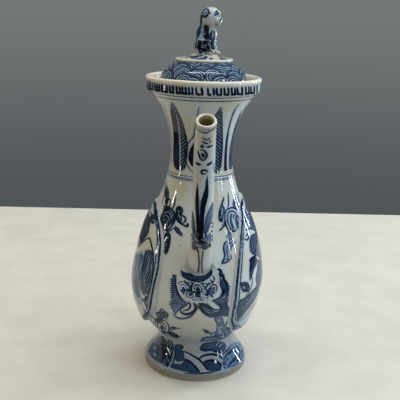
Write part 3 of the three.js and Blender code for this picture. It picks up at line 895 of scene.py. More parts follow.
spoutPainting = {"on": "spout", "washes": [
    ("L", None, [(207.4, 175), (206, 181), (205, 188), (203, 195), (201, 203), (200, 212), (199.3, 222),
     (199.5, 232), (200, 244), (204, 244), (203.5, 235), (203.8, 225), (204.3, 215), (205.7, 206),
     (207.2, 200), (208.4, 193), (208.2, 186), (207.8, 180)], [(197.3, 183), (196.3, 190), (195.4, 198),
     (195.3, 208), (195.8, 218), (196.5, 228), (197.5, 240), (200.5, 240), (200, 228), (199.4, 216),
     (198.9, 206), (198.5, 196), (198.1, 188)], [(211.2, 226.6), (212.8, 225.6), (213.5, 227),
     (212.2, 228)], [(211, 231), (212.4, 230), (213.2, 231.3), (212, 232.4)], [(211.4, 236),
     (212.8, 235), (213.6, 236.3), (212.4, 237.4)], [(211.4, 239.7), (212.8, 238.6), (213.6, 240),
     (212.4, 241.2)], [(208.5, 245), (210.3, 243.8), (211.2, 245.5), (209.8, 247.2)]),
    ("D", None, [(202, 153.5), (203.5, 153.8), (205, 156), (203.5, 157.3), (201.8, 156.5)],
         [(191.5, 210.5), (190.9, 217), (192, 225), (193.5, 233), (196, 240), (197, 236), (195.3, 227),
     (194.3, 218), (193, 212)], [(211.2, 223), (212.6, 222), (213.4, 223.3), (212.2, 224.3)],
         [(192, 242.5), (194.5, 241.8), (196.5, 243.5), (196, 246.5), (195, 249.8), (192.8, 249.5),
     (191.8, 246.5)], [(202.6, 244.5), (207, 244), (208, 247), (205.5, 249), (203.5, 250)]),
    ("M", None, [(200, 146.3), (201, 144.6), (203, 144.6), (204.3, 146.3), (203, 148.3), (201, 148.3)]),
    ("P", None, [(200.8, 152.5), (204.5, 153), (206, 156), (205, 159.5), (202, 159.5)], [(198.6, 196),
     (201, 203), (200, 212), (199.4, 222), (198.9, 206)]),
    ("M", (-62, 2.1), [(212.8, 202), (209, 210), (206, 217), (204.5, 225), (204.3, 233), (207, 233),
     (210, 226), (212.7, 217), (213.7, 208)]),
    ("M", (35, 2.4, 1), [(192, 232), (196, 235), (200, 239), (205, 237), (210.5, 233), (211.5, 239),
     (210, 245), (205, 248), (198, 248), (193.5, 247), (191.8, 240)]),
], "strokes": [
    ("L", 3, [(195.5, 241.5), (200, 243.3), (206, 242.5)]),
    ("L", 2.8, [(196, 163), (198.5, 164), (200.5, 165)]),
    ("L", 2.6, [(207, 165.3), (209.5, 164), (212, 161.8)], [(194.5, 247), (197, 248.8), (198.3, 252)]),
    ("L", 2.4, [(207, 147), (209.5, 146.7), (212.5, 145.7)]),
    ("L", 2.2, [(198, 151), (199, 155), (200.5, 158.5), (203, 160.5)], [(199.5, 226), (202.3, 230),
     (202.6, 234.5)], [(200.5, 236.5), (201, 240), (204, 242)]),
    ("L", 2, [(205.6, 234), (206.6, 239), (206.8, 244.5)]),
    ("L", 1.9, [(200.5, 150), (203, 150), (205.5, 152), (207, 155), (206, 158), (203.5, 160.5)]),
    ("L", 1.8, [(202.5, 141.5), (205, 143), (208, 144)], [(206, 173.8), (202, 174), (201.3, 172.5),
     (202, 170.7), (204.5, 170.2), (207, 171), (207.5, 172.2)], [(191.5, 225), (192.7, 230), (195, 238)],
         [(190.5, 232.5), (192.5, 236.5), (195.5, 243)], [(197, 231), (199, 235), (199.5, 239)]),
    ("L", 1.7, [(202, 137.5), (204.5, 139), (207, 140)]),
    ("L", 1.6, [(202.5, 246), (205.5, 248.8), (209, 246.5), (210.6, 245.6)]),
    ("L", 1.5, [(198, 250.5), (199, 260), (198.8, 268), (197.5, 275)]),
    ("L", 1.3, [(203.2, 248), (202.5, 255), (201.9, 262), (202, 270), (203.3, 275)]),
    ("D", 1.8, [(210, 137.5), (208.5, 139.5), (207.5, 140)], [(211, 141), (209.5, 143)]),
    ("D", 1.6, [(212.6, 243.5), (213.2, 246), (212.8, 248.3)], [(189.4, 269), (189.6, 274)]),
    ("D", 1.4, [(204.2, 231), (206, 236)]),
    ("D", 1.2, [(214.6, 163), (213.8, 168), (215.2, 175), (214.3, 181)]),
    ("D", 0.9, [(206, 232), (209, 224), (212, 214)]),
    # the middle-blue line just under the mouth's lip is a painted shadow beneath its bead
    ("M", 1.5, [(195.5, 126), (197, 129), (201, 131.5), (206, 133), (210, 131.5), (214, 129),
     (216, 127)]),
    ("M", 0.8, [(212.8, 202), (209, 210), (206, 217), (204.7, 225), (204.5, 233)]),
    ("W", 1.2, [(203, 233), (203.8, 236.5), (203, 239.5)]),
    ("W", 1, [(197.8, 232.5), (198.6, 236)], [(193.6, 236), (196, 240), (194.6, 242.6)], [(208.6, 234),
     (206.4, 239), (208.8, 242.6), (211, 241)]),
    ("W", 0.9, [(194.5, 244.8), (198, 245.6), (201, 247)], [(200.4, 239), (203, 240.6), (205.4, 239.4)]),
]}

leftSpray = {"on": "body", "washes": [
    ("L", None, [(165.7, 198), (168.4, 197.3), (168.8, 200.5), (167.5, 204), (165.5, 205), (165, 201)],
         [(186.3, 224), (187.4, 222.8), (188.9, 224), (188.6, 226), (186.8, 225.8)]),
    ("D", None, [(165.5, 185), (167.5, 190), (168, 196), (166.5, 198.5), (164.8, 196), (164.4, 191)],
         [(162.5, 213), (164, 208), (168, 206.3), (172, 208.5), (175, 212.5), (176.5, 218), (175, 222.5),
     (172, 227), (168.5, 230), (164.5, 230.5), (161.5, 228), (160, 223), (160.3, 217)], [(176.5, 209.5),
     (179, 207.8), (181.6, 210), (181.5, 213.5), (182, 217), (181.5, 222), (178, 221), (175.5, 216)],
         [(165, 233.5), (168.5, 232.3), (170.3, 234.3), (170.5, 238), (169.3, 243), (169, 247.5),
     (167.5, 251.5), (165.5, 254.3), (164, 251), (163, 247), (163, 242), (164.5, 238)]),
    ("M", None, [(175, 226.3), (177, 227.5), (180, 231), (182, 234.3), (181.3, 235.8), (178.5, 233.5),
     (175.5, 230.2), (174.2, 228)]),
    ("P", None, [(178.8, 245.3), (179.6, 244.6), (180.2, 245.5), (179.5, 246.3)]),
], "strokes": [
    ("L", 2.6, [(172, 210), (175, 214), (177, 219), (180, 222.5), (183.5, 225)]),
    ("L", 2, [(176, 213.5), (176.3, 209.3), (179, 207), (181.7, 208.5), (182.5, 211.5), (181.2, 213.7)],
         [(161.5, 228), (162.6, 231.5), (163.4, 235.3)]),
    ("L", 1.8, [(182, 215.2), (184.7, 217), (185.7, 219.7), (184.6, 222.2), (183, 222.6)]),
    ("L", 1.7, [(183, 224.5), (186, 226.3), (188.3, 226.7)]),
    ("L", 1.6, [(175.6, 197), (175, 201), (174, 206), (171.5, 209)], [(163.5, 206.5), (168, 206.5),
     (172, 209.5), (175, 213.5), (176.3, 218.5)]),
    ("L", 1.5, [(165.7, 182.3), (163.5, 187), (162, 192)], [(165.8, 183), (167.2, 187), (168.5, 191),
     (168.7, 196), (168, 200)]),
    ("L", 1.4, [(164.6, 194), (163, 199), (162, 204)], [(168.5, 198), (170.2, 200), (170.7, 203),
     (169, 207)], [(160.5, 217), (160, 223), (162, 228.5), (165, 230.5)], [(174.6, 226.4), (177, 227.5),
     (180, 231), (182.2, 234.3), (181.3, 236)]),
    ("L", 1.3, [(173.8, 228), (175.5, 230.4), (178.5, 233.7), (181.3, 236)], [(165, 234.5), (163.4, 241),
     (163, 247), (165.3, 254)], [(169.8, 233.5), (170.3, 238.5), (169.4, 245), (167.6, 251.5),
     (165.6, 254.5)]),
    ("D", 1.6, [(166.5, 231.5), (170, 230.5), (173, 228)]),
    ("W", 1.3, [(163.6, 219.3), (164.4, 220)]),
    ("W", 1, [(171.2, 222.5), (169.8, 226.5), (166.8, 229)]),
    ("W", 0.9, [(164.5, 213.3), (168, 211.8), (170.7, 214.8), (171.6, 219.5)], [(166.8, 219.5),
     (167.4, 222.5), (166.6, 226)], [(173.4, 224.5), (171.5, 228.5), (168.5, 231.2)], [(166, 242.5),
     (165.8, 246.5)]),
    ("W", 0.8, [(163, 217), (166, 215), (168.6, 217.5), (169.3, 222)], [(168.8, 209.3), (171.6, 212),
     (173.3, 216.5)], [(178, 210.5), (179.3, 212.8)], [(178, 214.3), (180.2, 217.5), (180.4, 220.5)],
         # the next white line is a painted highlight, kept clear of the ink
         [(182.5, 217.8), (182.9, 221.8)]),
    ("W", 0.7, [(161.6, 224), (163.3, 227.2)], [(167, 234.5), (168.2, 237.5), (167.6, 240.5)]),
]}

rightSpray = {"on": "body", "thinned": True, "washes": [
    ("L", None, [(219, 210.5), (220.3, 210), (220.8, 212), (219.5, 213)], [(237, 209.4), (238.6, 209.6),
     (238.8, 211.2), (237.3, 211.4)]),
    ("D", None, [(230.7, 213.5), (229.6, 217.5), (229.8, 222), (231.5, 227), (233.4, 229.6), (234, 227),
     (232.2, 222), (231.7, 217.5), (232.5, 214)]),
    ("M", None, [(222.5, 204), (224, 208), (223.8, 214), (223, 220.5), (220.3, 220.5), (219.4, 214),
     (220.8, 208)], [(236.5, 195), (238.5, 199), (238.8, 206), (236.5, 209), (234, 207), (233.8, 201)],
         [(236, 214), (238.5, 216), (240.3, 221), (241.3, 226), (240, 230.2), (237.5, 229), (236, 224),
     (235.2, 219)], [(238.5, 221), (242, 222), (243, 226), (242, 230.5), (239.5, 229.5)]),
    ("P", None, [(226, 213), (229, 210), (234, 210.5), (237.5, 214), (237.5, 222), (236, 230),
     (232.5, 231), (228.5, 226), (226, 220)], [(225.5, 243.5), (229.5, 244), (233, 243), (232, 247),
     (231, 252), (231.5, 258.5), (228, 261.5), (223.5, 262.5), (225.6, 256), (225, 249)]),
    ("D", (20, 2.4), [(228.8, 233), (231.5, 234), (232.5, 236), (231, 239.5), (228.7, 240.5),
     (227.8, 237)]),
], "strokes": [
    ("L", 2.2, [(223.4, 259.5), (222, 264)]),
    ("L", 2, [(226.2, 221.3), (224.6, 223), (225.8, 225.8)]),
    ("L", 1.9, [(224, 197.5), (222.6, 201.5), (222, 205.5)], [(227, 241.3), (224.6, 243.5), (223.7, 247),
     (224, 251), (224.8, 255), (224, 259), (222.2, 263.6)]),
    ("L", 1.8, [(219.5, 219.5), (222.5, 219.8)]),
    ("L", 1.7, [(228.7, 231.5), (227, 236), (228, 239.3), (228.8, 242.4), (231, 243.2)]),
    ("L", 1.6, [(219, 215.6), (222, 215.3)], [(234.9, 214), (233.2, 217), (233, 220.3)], [(230.8, 228.5),
     (233.5, 231.3), (236.3, 230.3)]),
    ("L", 1.5, [(236, 197), (236.2, 202.5), (234.5, 207)], [(238.2, 211), (235, 208.5), (231.5, 207.7),
     (228, 209), (225.5, 211.7), (224.7, 216), (225, 221), (226.5, 226), (228.5, 231), (231, 234)],
         [(225.8, 224.8), (223, 227), (220.5, 229.8), (219.4, 230.2)]),
    ("L", 1.4, [(222.4, 263.2), (226, 262.6), (229, 260.6), (230.6, 258.6)], [(226, 260.2), (228, 258.6),
     (227.7, 256.6)]),
    ("L", 1.3, [(222.3, 202), (220, 208), (219, 213), (218.8, 218), (220, 221.3), (223, 221.6)],
         [(236, 216), (237, 218)]),
    ("L", 1.2, [(236.6, 192.5), (235, 197), (233.3, 201), (233, 205), (233.6, 208)], [(236.2, 214),
     (234, 211.6), (231, 211), (228.5, 213), (227.5, 217), (227.7, 221), (229, 226), (231.5, 231),
     (234, 231.5)]),
    ("D", 2, [(228.2, 192.8), (228.3, 198), (228.6, 204), (227.5, 208)]),
    ("D", 1.8, [(235.6, 215.5), (236.2, 220), (237.2, 224.5), (238, 228.5)]),
    ("D", 1.6, [(231, 233), (233, 235.7), (231.6, 239), (229.5, 241)]),
    ("D", 1.4, [(229.5, 243), (227.5, 246), (227, 250), (227.5, 254), (227.6, 257)]),
    ("D", 1.2, [(223.3, 205.5), (224.6, 209.5), (224.4, 215)], [(236.8, 193), (238.5, 197), (239.3, 201),
     (239.1, 206), (238.5, 210)], [(224, 223), (222.4, 225.2), (223, 226.8)], [(239, 221.5),
     (241.8, 223.5), (242.3, 229)]),
    ("M", 1.4, [(235.2, 240), (234.7, 243.5), (232, 246), (231, 249.5)]),
    ("M", 1.3, [(231, 245), (229.5, 248), (229.8, 252), (231, 256), (231.6, 259)]),
    ("M", 1.2, [(233.2, 240), (231, 243.5)]),
    ("W", 1.5, [(232.4, 217.5), (233.6, 222.3), (235.2, 228.3)]),
    ("W", 1.2, [(230.8, 236.4), (231.3, 238)]),
    ("W", 0.9, [(235.6, 203.3), (235.4, 207)], [(222.6, 207.5), (222, 213), (221.2, 217.5)],
         [(237.4, 217), (238.9, 222), (239.6, 227.5)]),
    ("W", 0.8, [(240.6, 223.5), (241.2, 228)]),
]}


def fringe(stroke, step, count, shorter=0.0):
    # a short stroke again and again, one below the other, each a little shorter at its tip
    (x, y) = stroke[-1]
    return [[(a, b + step * k) for a, b in stroke[:-1]] + [(x + shorter * k, y + step * k)]
            for k in range(count)]


maneLeft = {"on": "body", "washes": [
    ("M", (84, 1.9), [(173.3, 274.5), (176.5, 275), (175.8, 279), (175.6, 285), (176.6, 290),
     (178.5, 295), (181.5, 299.5), (186, 302), (188, 304.3), (184, 306), (178, 305), (172, 305.5),
     (171.3, 298), (171.8, 290), (172, 283), (172.6, 278)]),
    ("M", (30, 1.8), [(170, 303.5), (180, 303), (187, 304), (184, 308), (180, 310), (177, 313),
     (175.5, 316), (174, 313), (171.5, 308)]),
], "strokes": [
    ("L", 2, [(172.6, 276.5), (174.6, 275.3)]),
    ("L", 1.6, [(176, 277), (175.7, 284), (177.2, 291), (180, 297), (185, 301.8)]),
    ("L", 1.2, *fringe([(175, 279), (172.5, 278.8), (170.3, 279.3)], 2.27, 9)),
    ("D", 1.2, [(178, 300.2), (173, 301), (169.2, 302.6)], [(180, 303), (174, 303.6), (168.5, 304.9)]),
    ("M", 1.2, [(180, 305.5), (174, 306.6), (170, 308.3)]),
]}

maneRight = {"on": "body", "washes": [
    ("D", (-24, 1.7), [(219, 270), (222, 270.5), (223, 273.5), (224.5, 276), (224.5, 280), (227, 282.5),
     (228.5, 286), (228.8, 290), (228.6, 294), (227.6, 298), (227.6, 302), (228.2, 306), (230.5, 309.5),
     (231.5, 313), (230.5, 316), (226, 316.5), (222, 316), (215, 316.5), (214, 312), (219, 311),
     (220, 308), (216, 304), (212, 301), (214, 299.5), (218, 298), (221, 294), (221.5, 290),
     (219.8, 285), (219.3, 280), (219, 275)]),
], "strokes": [
    ("L", 2.6, [(223.5, 275), (224.3, 280), (227.3, 284), (227.8, 287)]),
    ("L", 2.4, [(222.5, 288), (223.5, 292), (222, 296)]),
    ("L", 2.2, [(216.5, 273.5), (219, 274.6), (222.5, 275)]),
    ("L", 2, [(217, 269.5), (219.6, 269.6), (221.5, 271.5)]),
    ("L", 1.8, [(221, 276), (220, 282), (220.8, 287)]),
    ("L", 1.7, [(206.5, 303.5), (209, 306), (212, 308.5), (216, 310), (220, 309.3), (221, 307),
     (219.3, 304.2)]),
    ("L", 1.1, *fringe([(226.5, 286.5), (228.6, 286.4), (230.2, 286.7)], 2.31, 7, -0.25)),
    ("W", 1.4, [(213, 303.8), (215, 306.6), (217.8, 307)]),
    ("W", 1.1, [(219.8, 277.6), (221.8, 279)]),
    ("W", 0.7, [(213, 301.8), (218, 300.3), (225, 297.3)]),
    ("W", 0.6, [(216, 303.5), (221, 301.5), (226.8, 300)], [(221.5, 299), (225, 296), (227, 293.5)]),
]}

lobes = {"on": "body", "washes": [
    ("D", None, [(198.3, 303.3), (203, 302.8), (206, 304.3), (209, 307), (214, 311), (217, 312),
     (219, 313.5), (216, 316), (211, 316), (206, 314.5), (202.5, 311.5), (200, 308)]),
], "strokes": [
    ("L", 1.9, [(188, 302), (190.2, 304.5), (190, 307.5), (187, 310), (183, 310.6)]),
    ("L", 1.6, [(197.8, 304.8), (200, 309), (203, 312.5), (207, 315.5), (211, 317), (214.5, 316.6)]),
    ("L", 1.5, [(187, 305), (184, 306.8), (180.2, 309), (180.8, 312)]),
    ("L", 1.4, [(196.6, 305), (197.2, 308), (195.6, 310.8)]),
    ("D", 3.2, [(194, 303.5), (195.6, 306.5), (195, 310), (192, 312.6), (188, 314), (184, 314),
     (180.6, 311.8)]),
    ("D", 1.2, [(189, 303.5), (185, 304.6), (181, 306)]),
    ("M", 2.6, [(196.8, 309), (194, 313), (190, 316.5), (185, 318.3), (180, 318.3), (175.5, 316.5)]),
    ("P", 2.6, [(188, 317.6), (181, 318.8), (175, 317), (172.5, 313)]),
    ("W", 1.7, [(191.7, 303), (192.6, 306.5), (191, 309.7), (188, 311.8), (184.6, 312)]),
    ("W", 0.8, [(188.6, 307), (184.5, 309)], [(186, 311), (183.6, 312.2)], [(202.5, 306.5), (206.5, 311),
     (212.5, 314.5)]),
    ("W", 0.7, [(186.5, 305), (182.8, 306.8)], [(205.5, 307), (209.5, 310.8), (215, 312.6)]),
]}

lowLeftSpray = {"on": "body", "washes": [
    ("L", None, [(160.6, 325.5), (162.5, 325), (164, 327), (163.5, 329.8), (161.5, 329.8),
     (160.2, 328)]),
    ("D", None, [(155, 319), (158, 317.5), (161, 318.5), (163, 320.5), (161, 322.5), (157.5, 323),
     (155, 321.5)], [(160.5, 330), (164, 330.6), (166, 332.6), (162, 333.4)], [(168.5, 331),
     (171, 331.5), (174.5, 333.3), (177, 335), (179.5, 337), (176.5, 337.5), (172.5, 336.3),
     (169, 334.3)]),
    ("M", None, [(157, 313.5), (161, 311), (165.5, 313), (167, 316), (163, 319), (158, 319)],
         [(169.5, 328.2), (172, 327), (174.5, 327.3), (176.5, 328.3), (174, 329.3), (171, 330)]),
], "strokes": [
    ("L", 2, [(151, 316.5), (152.7, 317), (154.5, 319), (157, 321)]),
    ("L", 1.7, [(162, 319.8), (165, 320.7), (167.5, 323.5), (168.9, 327), (168.5, 331), (167, 333),
     (163, 333.6), (160.4, 331.6)]),
    ("L", 1.5, [(157, 317), (156, 314.5), (156.5, 312.7), (158.2, 312.2), (159.5, 313.2), (160, 310.6),
     (161.2, 309.3), (163, 309.8), (165, 312), (166.5, 312.3), (167.9, 314), (167.5, 317),
     (165.3, 319.6)]),
    ("L", 1.4, [(158.8, 322), (157.4, 325.5), (159.2, 329)]),
    ("L", 1.3, [(164.5, 312), (161.5, 316), (159, 318.5)], [(162.5, 322.4), (165, 325), (165.6, 328.5),
     (164, 331.5)], [(169.5, 328.2), (172, 327), (174.5, 327.3), (177, 328.2), (181, 328.5)],
         [(168, 330.8), (171, 331.5), (174.5, 333.3), (177, 335), (179.8, 337)], [(168.4, 334),
     (172.5, 336.5), (176.5, 337.6), (179.8, 337)]),
    ("L", 1.2, [(166, 315), (163, 317.5), (160, 320)], [(156.5, 327), (160, 327.4)], [(160.3, 324),
     (162, 323.3), (163.3, 324.3)]),
    ("L", 1.1, [(169.8, 329.8), (172.5, 329.8), (177, 328.8)]),
    ("D", 2.6, [(161.3, 331), (162, 335), (163.3, 339)]),
    ("D", 1.5, [(151, 318), (151.5, 322), (152.7, 326), (156, 327.8)]),
    ("D", 1.3, [(154, 321.5), (153.5, 324.5), (155, 326.5)], [(156, 322), (155.4, 325), (157, 328)]),
    ("D", 1, [(162, 311.5), (160.6, 314.5)]),
    ("W", 0.7, [(171, 333), (174.5, 335)]),
]}

lowRightSpray = {"on": "body", "washes": [
    ("L", None, [(222, 331.2), (223.5, 330.6), (224.5, 332), (223.4, 333.3), (222, 332.8)]),
    ("D", None, [(204, 330.2), (206.2, 330.4), (209, 332.6), (206, 332.5)]),
    ("M", None, [(225, 327), (228.5, 327.6), (229.6, 330.5), (230.8, 333), (228.5, 336.2),
     (224.5, 337.2), (224, 332)], [(216, 331), (221, 329.5), (223, 334.5), (220, 336.5), (214, 336.5),
     (214.5, 333)]),
    ("M", (60, 2.4, 1), [(214.5, 316), (218, 316), (222.5, 316), (223, 320), (223.8, 325), (225, 329),
     (223, 333), (218, 334), (216, 331), (216.5, 326), (215.5, 321)]),
    ("M", (12, 2.4), [(200.5, 340.3), (203, 338), (207, 337), (212, 336.8), (217, 336.5), (222, 337.3),
     (226, 337.6), (220, 339.6), (213, 340.3), (206, 340.6), (202, 341.3)]),
], "strokes": [
    ("L", 1.4, [(210.8, 336), (212.6, 333), (216, 331.3)], [(200.4, 340.8), (203.4, 338), (208, 337),
     (216, 337), (222, 338)]),
    ("L", 1.3, [(214.5, 317), (215.5, 320.5), (217.6, 323)]),
    ("L", 1.2, [(217, 318), (218.4, 317.8)], [(203, 329.7), (206, 330), (209, 332), (211.5, 333.6)],
         [(201, 341.3), (207, 340.5), (214, 340.2), (221, 339.3), (226, 337.6)]),
    ("L", 1.1, [(217, 324), (219, 326), (221.5, 325), (222, 322.5)], [(216.3, 329), (218, 331.5),
     (217, 334), (219.5, 335)], [(203.2, 330.2), (205.2, 332.3), (208.3, 333.4), (211.5, 333.6)]),
    ("L", 1, [(220.5, 329), (222.6, 329.6), (223, 331.5)], [(213, 336.8), (215, 334.6)]),
    ("D", 2, [(226, 327), (229, 328.6), (229.6, 331), (230.6, 333.2), (228.3, 336.2), (225, 337.3)]),
    ("D", 1.7, [(226.2, 321.6), (226.5, 324), (224.3, 326.8)]),
    ("D", 1.2, [(222.3, 317), (223.3, 322), (224.6, 327)]),
    ("W", 0.8, [(220.5, 331.3), (222, 333.6)], [(216.8, 326), (219.5, 328), (222.5, 327)],
         [(218.5, 329.5), (219.5, 332), (218.6, 334)], [(205, 339.6), (212, 338.6), (219, 338.6)],
         [(212.4, 336), (214.4, 333.6)]),
    ("W", 0.7, [(215.5, 319), (217.5, 321), (221.5, 320.5)]),
]}

footPainting = {"on": "foot", "washes": [
    ("L", None, [(160.5, 336), (163.5, 336), (165.5, 341), (166.5, 347), (165.5, 352), (163, 356),
     (162, 350), (161.5, 343)], [(164, 353), (166.3, 353.5), (165.5, 357.5), (162.5, 361.5),
     (160.3, 361), (162, 357)], [(180.7, 346), (182.5, 345.3), (184, 347), (182.6, 349), (181, 348.6)]),
    ("D", None, [(147.5, 347), (150, 344.5), (152.5, 341), (155, 345), (158.5, 348.5), (160.5, 352),
     (161.5, 358), (158, 359.5), (154, 358.5), (151.5, 354), (149, 350.5)]),
    ("P", None, [(222, 370), (230, 369), (238, 365), (243, 359), (244, 362), (238, 368), (228, 372)]),
    ("D", (88, 1.7), [(175.5, 344.5), (179.5, 344), (183, 345.5), (183.5, 347.5), (182, 349.5),
     (183.5, 352), (184.5, 356), (184, 360.5), (180.5, 361.3), (176, 361), (175, 353)]),
    ("D", (70, 2.4, 1), [(148, 351), (150.5, 344), (154, 339), (159, 336.5), (164, 338), (168, 341),
     (172, 344), (173, 353), (171.5, 361), (168, 367), (162, 364), (155, 360)]),
    ("D", (-40, 2), [(172, 363.5), (176, 363.6), (181, 364), (184, 360), (186, 358.8), (190, 361.5),
     (194, 365.5), (197.5, 369), (200, 372), (195, 373), (188, 372.3), (180, 370.5), (173, 368.5),
     (170, 366.5)]),
    ("D", (70, 2), [(203.5, 362.5), (205.5, 360.8), (210, 360.3), (215, 360.5), (219, 362), (221, 364.5),
     (221.5, 368), (218, 370), (210, 371), (206.5, 369.5), (204.5, 366)]),
    ("D", (-38, 2), [(200, 349.5), (201, 346), (204, 344), (208, 342.3), (212, 341.5), (217, 341),
     (222, 341.5), (225, 343.5), (226.5, 346), (224.5, 349.5), (221.5, 352.3), (216, 351.8), (212, 350),
     (208, 350.8), (203, 350.8)]),
    ("M", (58, 2.2), [(223, 358), (227, 351), (230, 345), (235, 342), (241, 344.5), (243.5, 350),
     (243, 358), (238, 364), (230, 368), (224, 368.5), (222.5, 363)]),
], "strokes": [
    ("L", 2.4, [(238, 343), (241, 345.5), (242.5, 349), (241.5, 352)]),
    ("L", 2.2, [(185.5, 359), (190, 361.8), (194, 365.6), (197.5, 369), (199.8, 372)], [(204, 361.7),
     (209, 360.4), (214, 360.8), (218.5, 362.5), (221.5, 365.3)]),
    ("L", 2.1, [(198.5, 359), (202, 356.5), (206, 355), (211, 354.3), (216, 355), (220, 356.7),
     (222.3, 358.8)]),
    ("L", 2, [(168.7, 339.5), (168.3, 344), (168.7, 349)]),
    ("L", 1.9, [(171.5, 340.5), (173, 345), (173, 350), (171.5, 355), (169.5, 361), (166, 366)],
         [(183, 351.3), (187, 352.5), (191, 354.5), (195, 357), (199, 359.5), (202, 362.3), (204.5, 365.8),
     (207, 370)]),
    ("L", 1.6, [(168.5, 339.7), (170.6, 341), (172, 343)], [(165.5, 351.5), (168.3, 352.5), (169.5, 356),
     (167, 360), (165.7, 364.5)]),
    ("L", 1.4, [(200, 348), (203, 344.4), (208, 342.2)]),
    ("L", 1.3, [(200, 349.8), (205, 351), (211, 350.3), (216, 352), (221.5, 352.4), (225, 349)]),
    ("D", 3.4, [(229, 354), (232, 350), (235.5, 352), (236, 357), (232, 361.5), (228, 366)]),
    ("D", 2.2, [(235.5, 344.5), (238.5, 348), (240, 352.5), (239, 358), (236, 362)]),
    ("D", 1.8, [(174.7, 344), (175, 352), (174, 360), (171, 368)]),
    ("D", 1.5, [(162.8, 361.5), (165, 356.5)], [(222, 355), (226, 351), (229, 348.3)], [(223, 361),
     (226, 356), (229.5, 351)]),
    ("D", 1.4, [(221.5, 363), (225, 362), (228, 358)]),
    ("D", 1.3, [(184, 373), (192, 373.6), (200, 373.5), (212, 372), (222, 369.3)]),
    ("D", 1.2, [(223, 365), (226.5, 363.5)]),
    ("M", 3.2, [(232.5, 356), (231, 360), (226, 364.5)]),
    ("M", 2, [(242, 354), (241, 359), (236.5, 364)]),
    ("M", 1.6, [(225, 368.5), (231, 365.3), (237, 361), (241, 356)]),
    ("W", 2.2, [(153.6, 347), (156, 348.6)]),
    ("W", 2, [(153.8, 353), (156.2, 356)]),
    ("W", 0.9, [(176.3, 361.8), (178, 362.2)], [(179, 362.4), (180.8, 362.4)], [(182, 362),
     (183.4, 361.2)], [(219, 347.5), (223.5, 342)], [(216, 346), (219.5, 341.5)]),
    ("W", 0.8, [(164, 345), (165, 350)], [(222, 349.5), (226.3, 344.8)]),
]}

collarPainting = {"on": "collar", "washes": [
    ("L", None, [(196.5, 287.5), (199, 286.7), (200.5, 288.5), (199.5, 290.8), (197, 290.5)],
         [(190.5, 285), (193, 284.7), (194, 286.5), (192, 287.8)], [(200, 289.5), (202.5, 288.8),
     (203.7, 290.8), (202, 292.6), (200, 291.8)]),
    ("D", None, [(190, 285), (194, 284.5), (200, 285.5), (204, 286.5), (205, 289), (203, 292.5),
     (199, 294), (194, 293.5), (191, 290.5)], [(191, 296.7), (197, 296), (202, 296.7), (204, 298),
     (203, 300.5), (197, 301), (192, 299.7)]),
    ("M", None, [(208, 290.3), (211, 287.8), (215, 286), (217.5, 287.2), (217, 291), (214, 293.3),
     (210, 293.3), (207.6, 293)]),
    ("D", (4, 1.9), [(181, 271), (185, 273), (189, 274.5), (194, 275.6), (200, 275.6), (206, 274.6),
     (211, 272), (212, 275), (207, 279.5), (200, 282), (194, 281.6), (189, 279.4), (185, 277),
     (181.5, 274.5)]),
], "strokes": [
    ("L", 1.8, [(184.5, 281), (186.5, 285), (188, 287.3)]),
    ("L", 1.7, [(210.5, 280), (212.2, 281.6), (211.7, 284), (209.5, 285.6)]),
    ("L", 1.6, [(182, 275.5), (187, 279), (194, 281), (200, 281.5), (205, 280.6)], [(211.7, 270.5),
     (211.3, 274)]),
    ("L", 1.4, [(181, 271), (185, 273), (189, 274.5), (194, 275.6), (200, 275.6), (206, 274.6),
     (211, 272)], [(203, 294.5), (206, 291.7), (209, 288.5), (212.5, 286), (216, 285)]),
    ("L", 1.3, [(184, 291), (186.5, 293), (188, 296), (190, 297.6)]),
    ("L", 1.2, [(185, 289.6), (188, 288.5), (190.6, 291), (191.7, 293.3)]),
    ("D", 1.3, [(213, 276), (214.5, 279), (213.7, 282)]),
    ("D", 1.2, [(183.5, 292.6), (185, 295.2), (187, 297.6)], [(217.3, 286.5), (216.3, 289.8)]),
    ("D", 1.1, [(186.5, 292), (189, 295), (192, 296)], [(204.8, 296.5), (207, 293.3), (210, 290.6)],
         [(206.5, 294.7), (208.2, 297), (206.6, 299.2)]),
    ("D", 1, [(191, 294.5), (196, 295.2), (202, 294.6)], [(210.5, 295), (213, 297)], [(188.5, 282),
     (193, 283.6), (199, 284.4), (206, 283.6)]),
    ("W", 0.8, [(194.5, 285.5), (196, 288), (195, 291)], [(201, 287), (203, 288), (204, 290)]),
    ("W", 0.7, [(193, 289), (196.5, 292.3)], [(193, 298.5), (198, 297.6), (202, 298.6)]),
]}

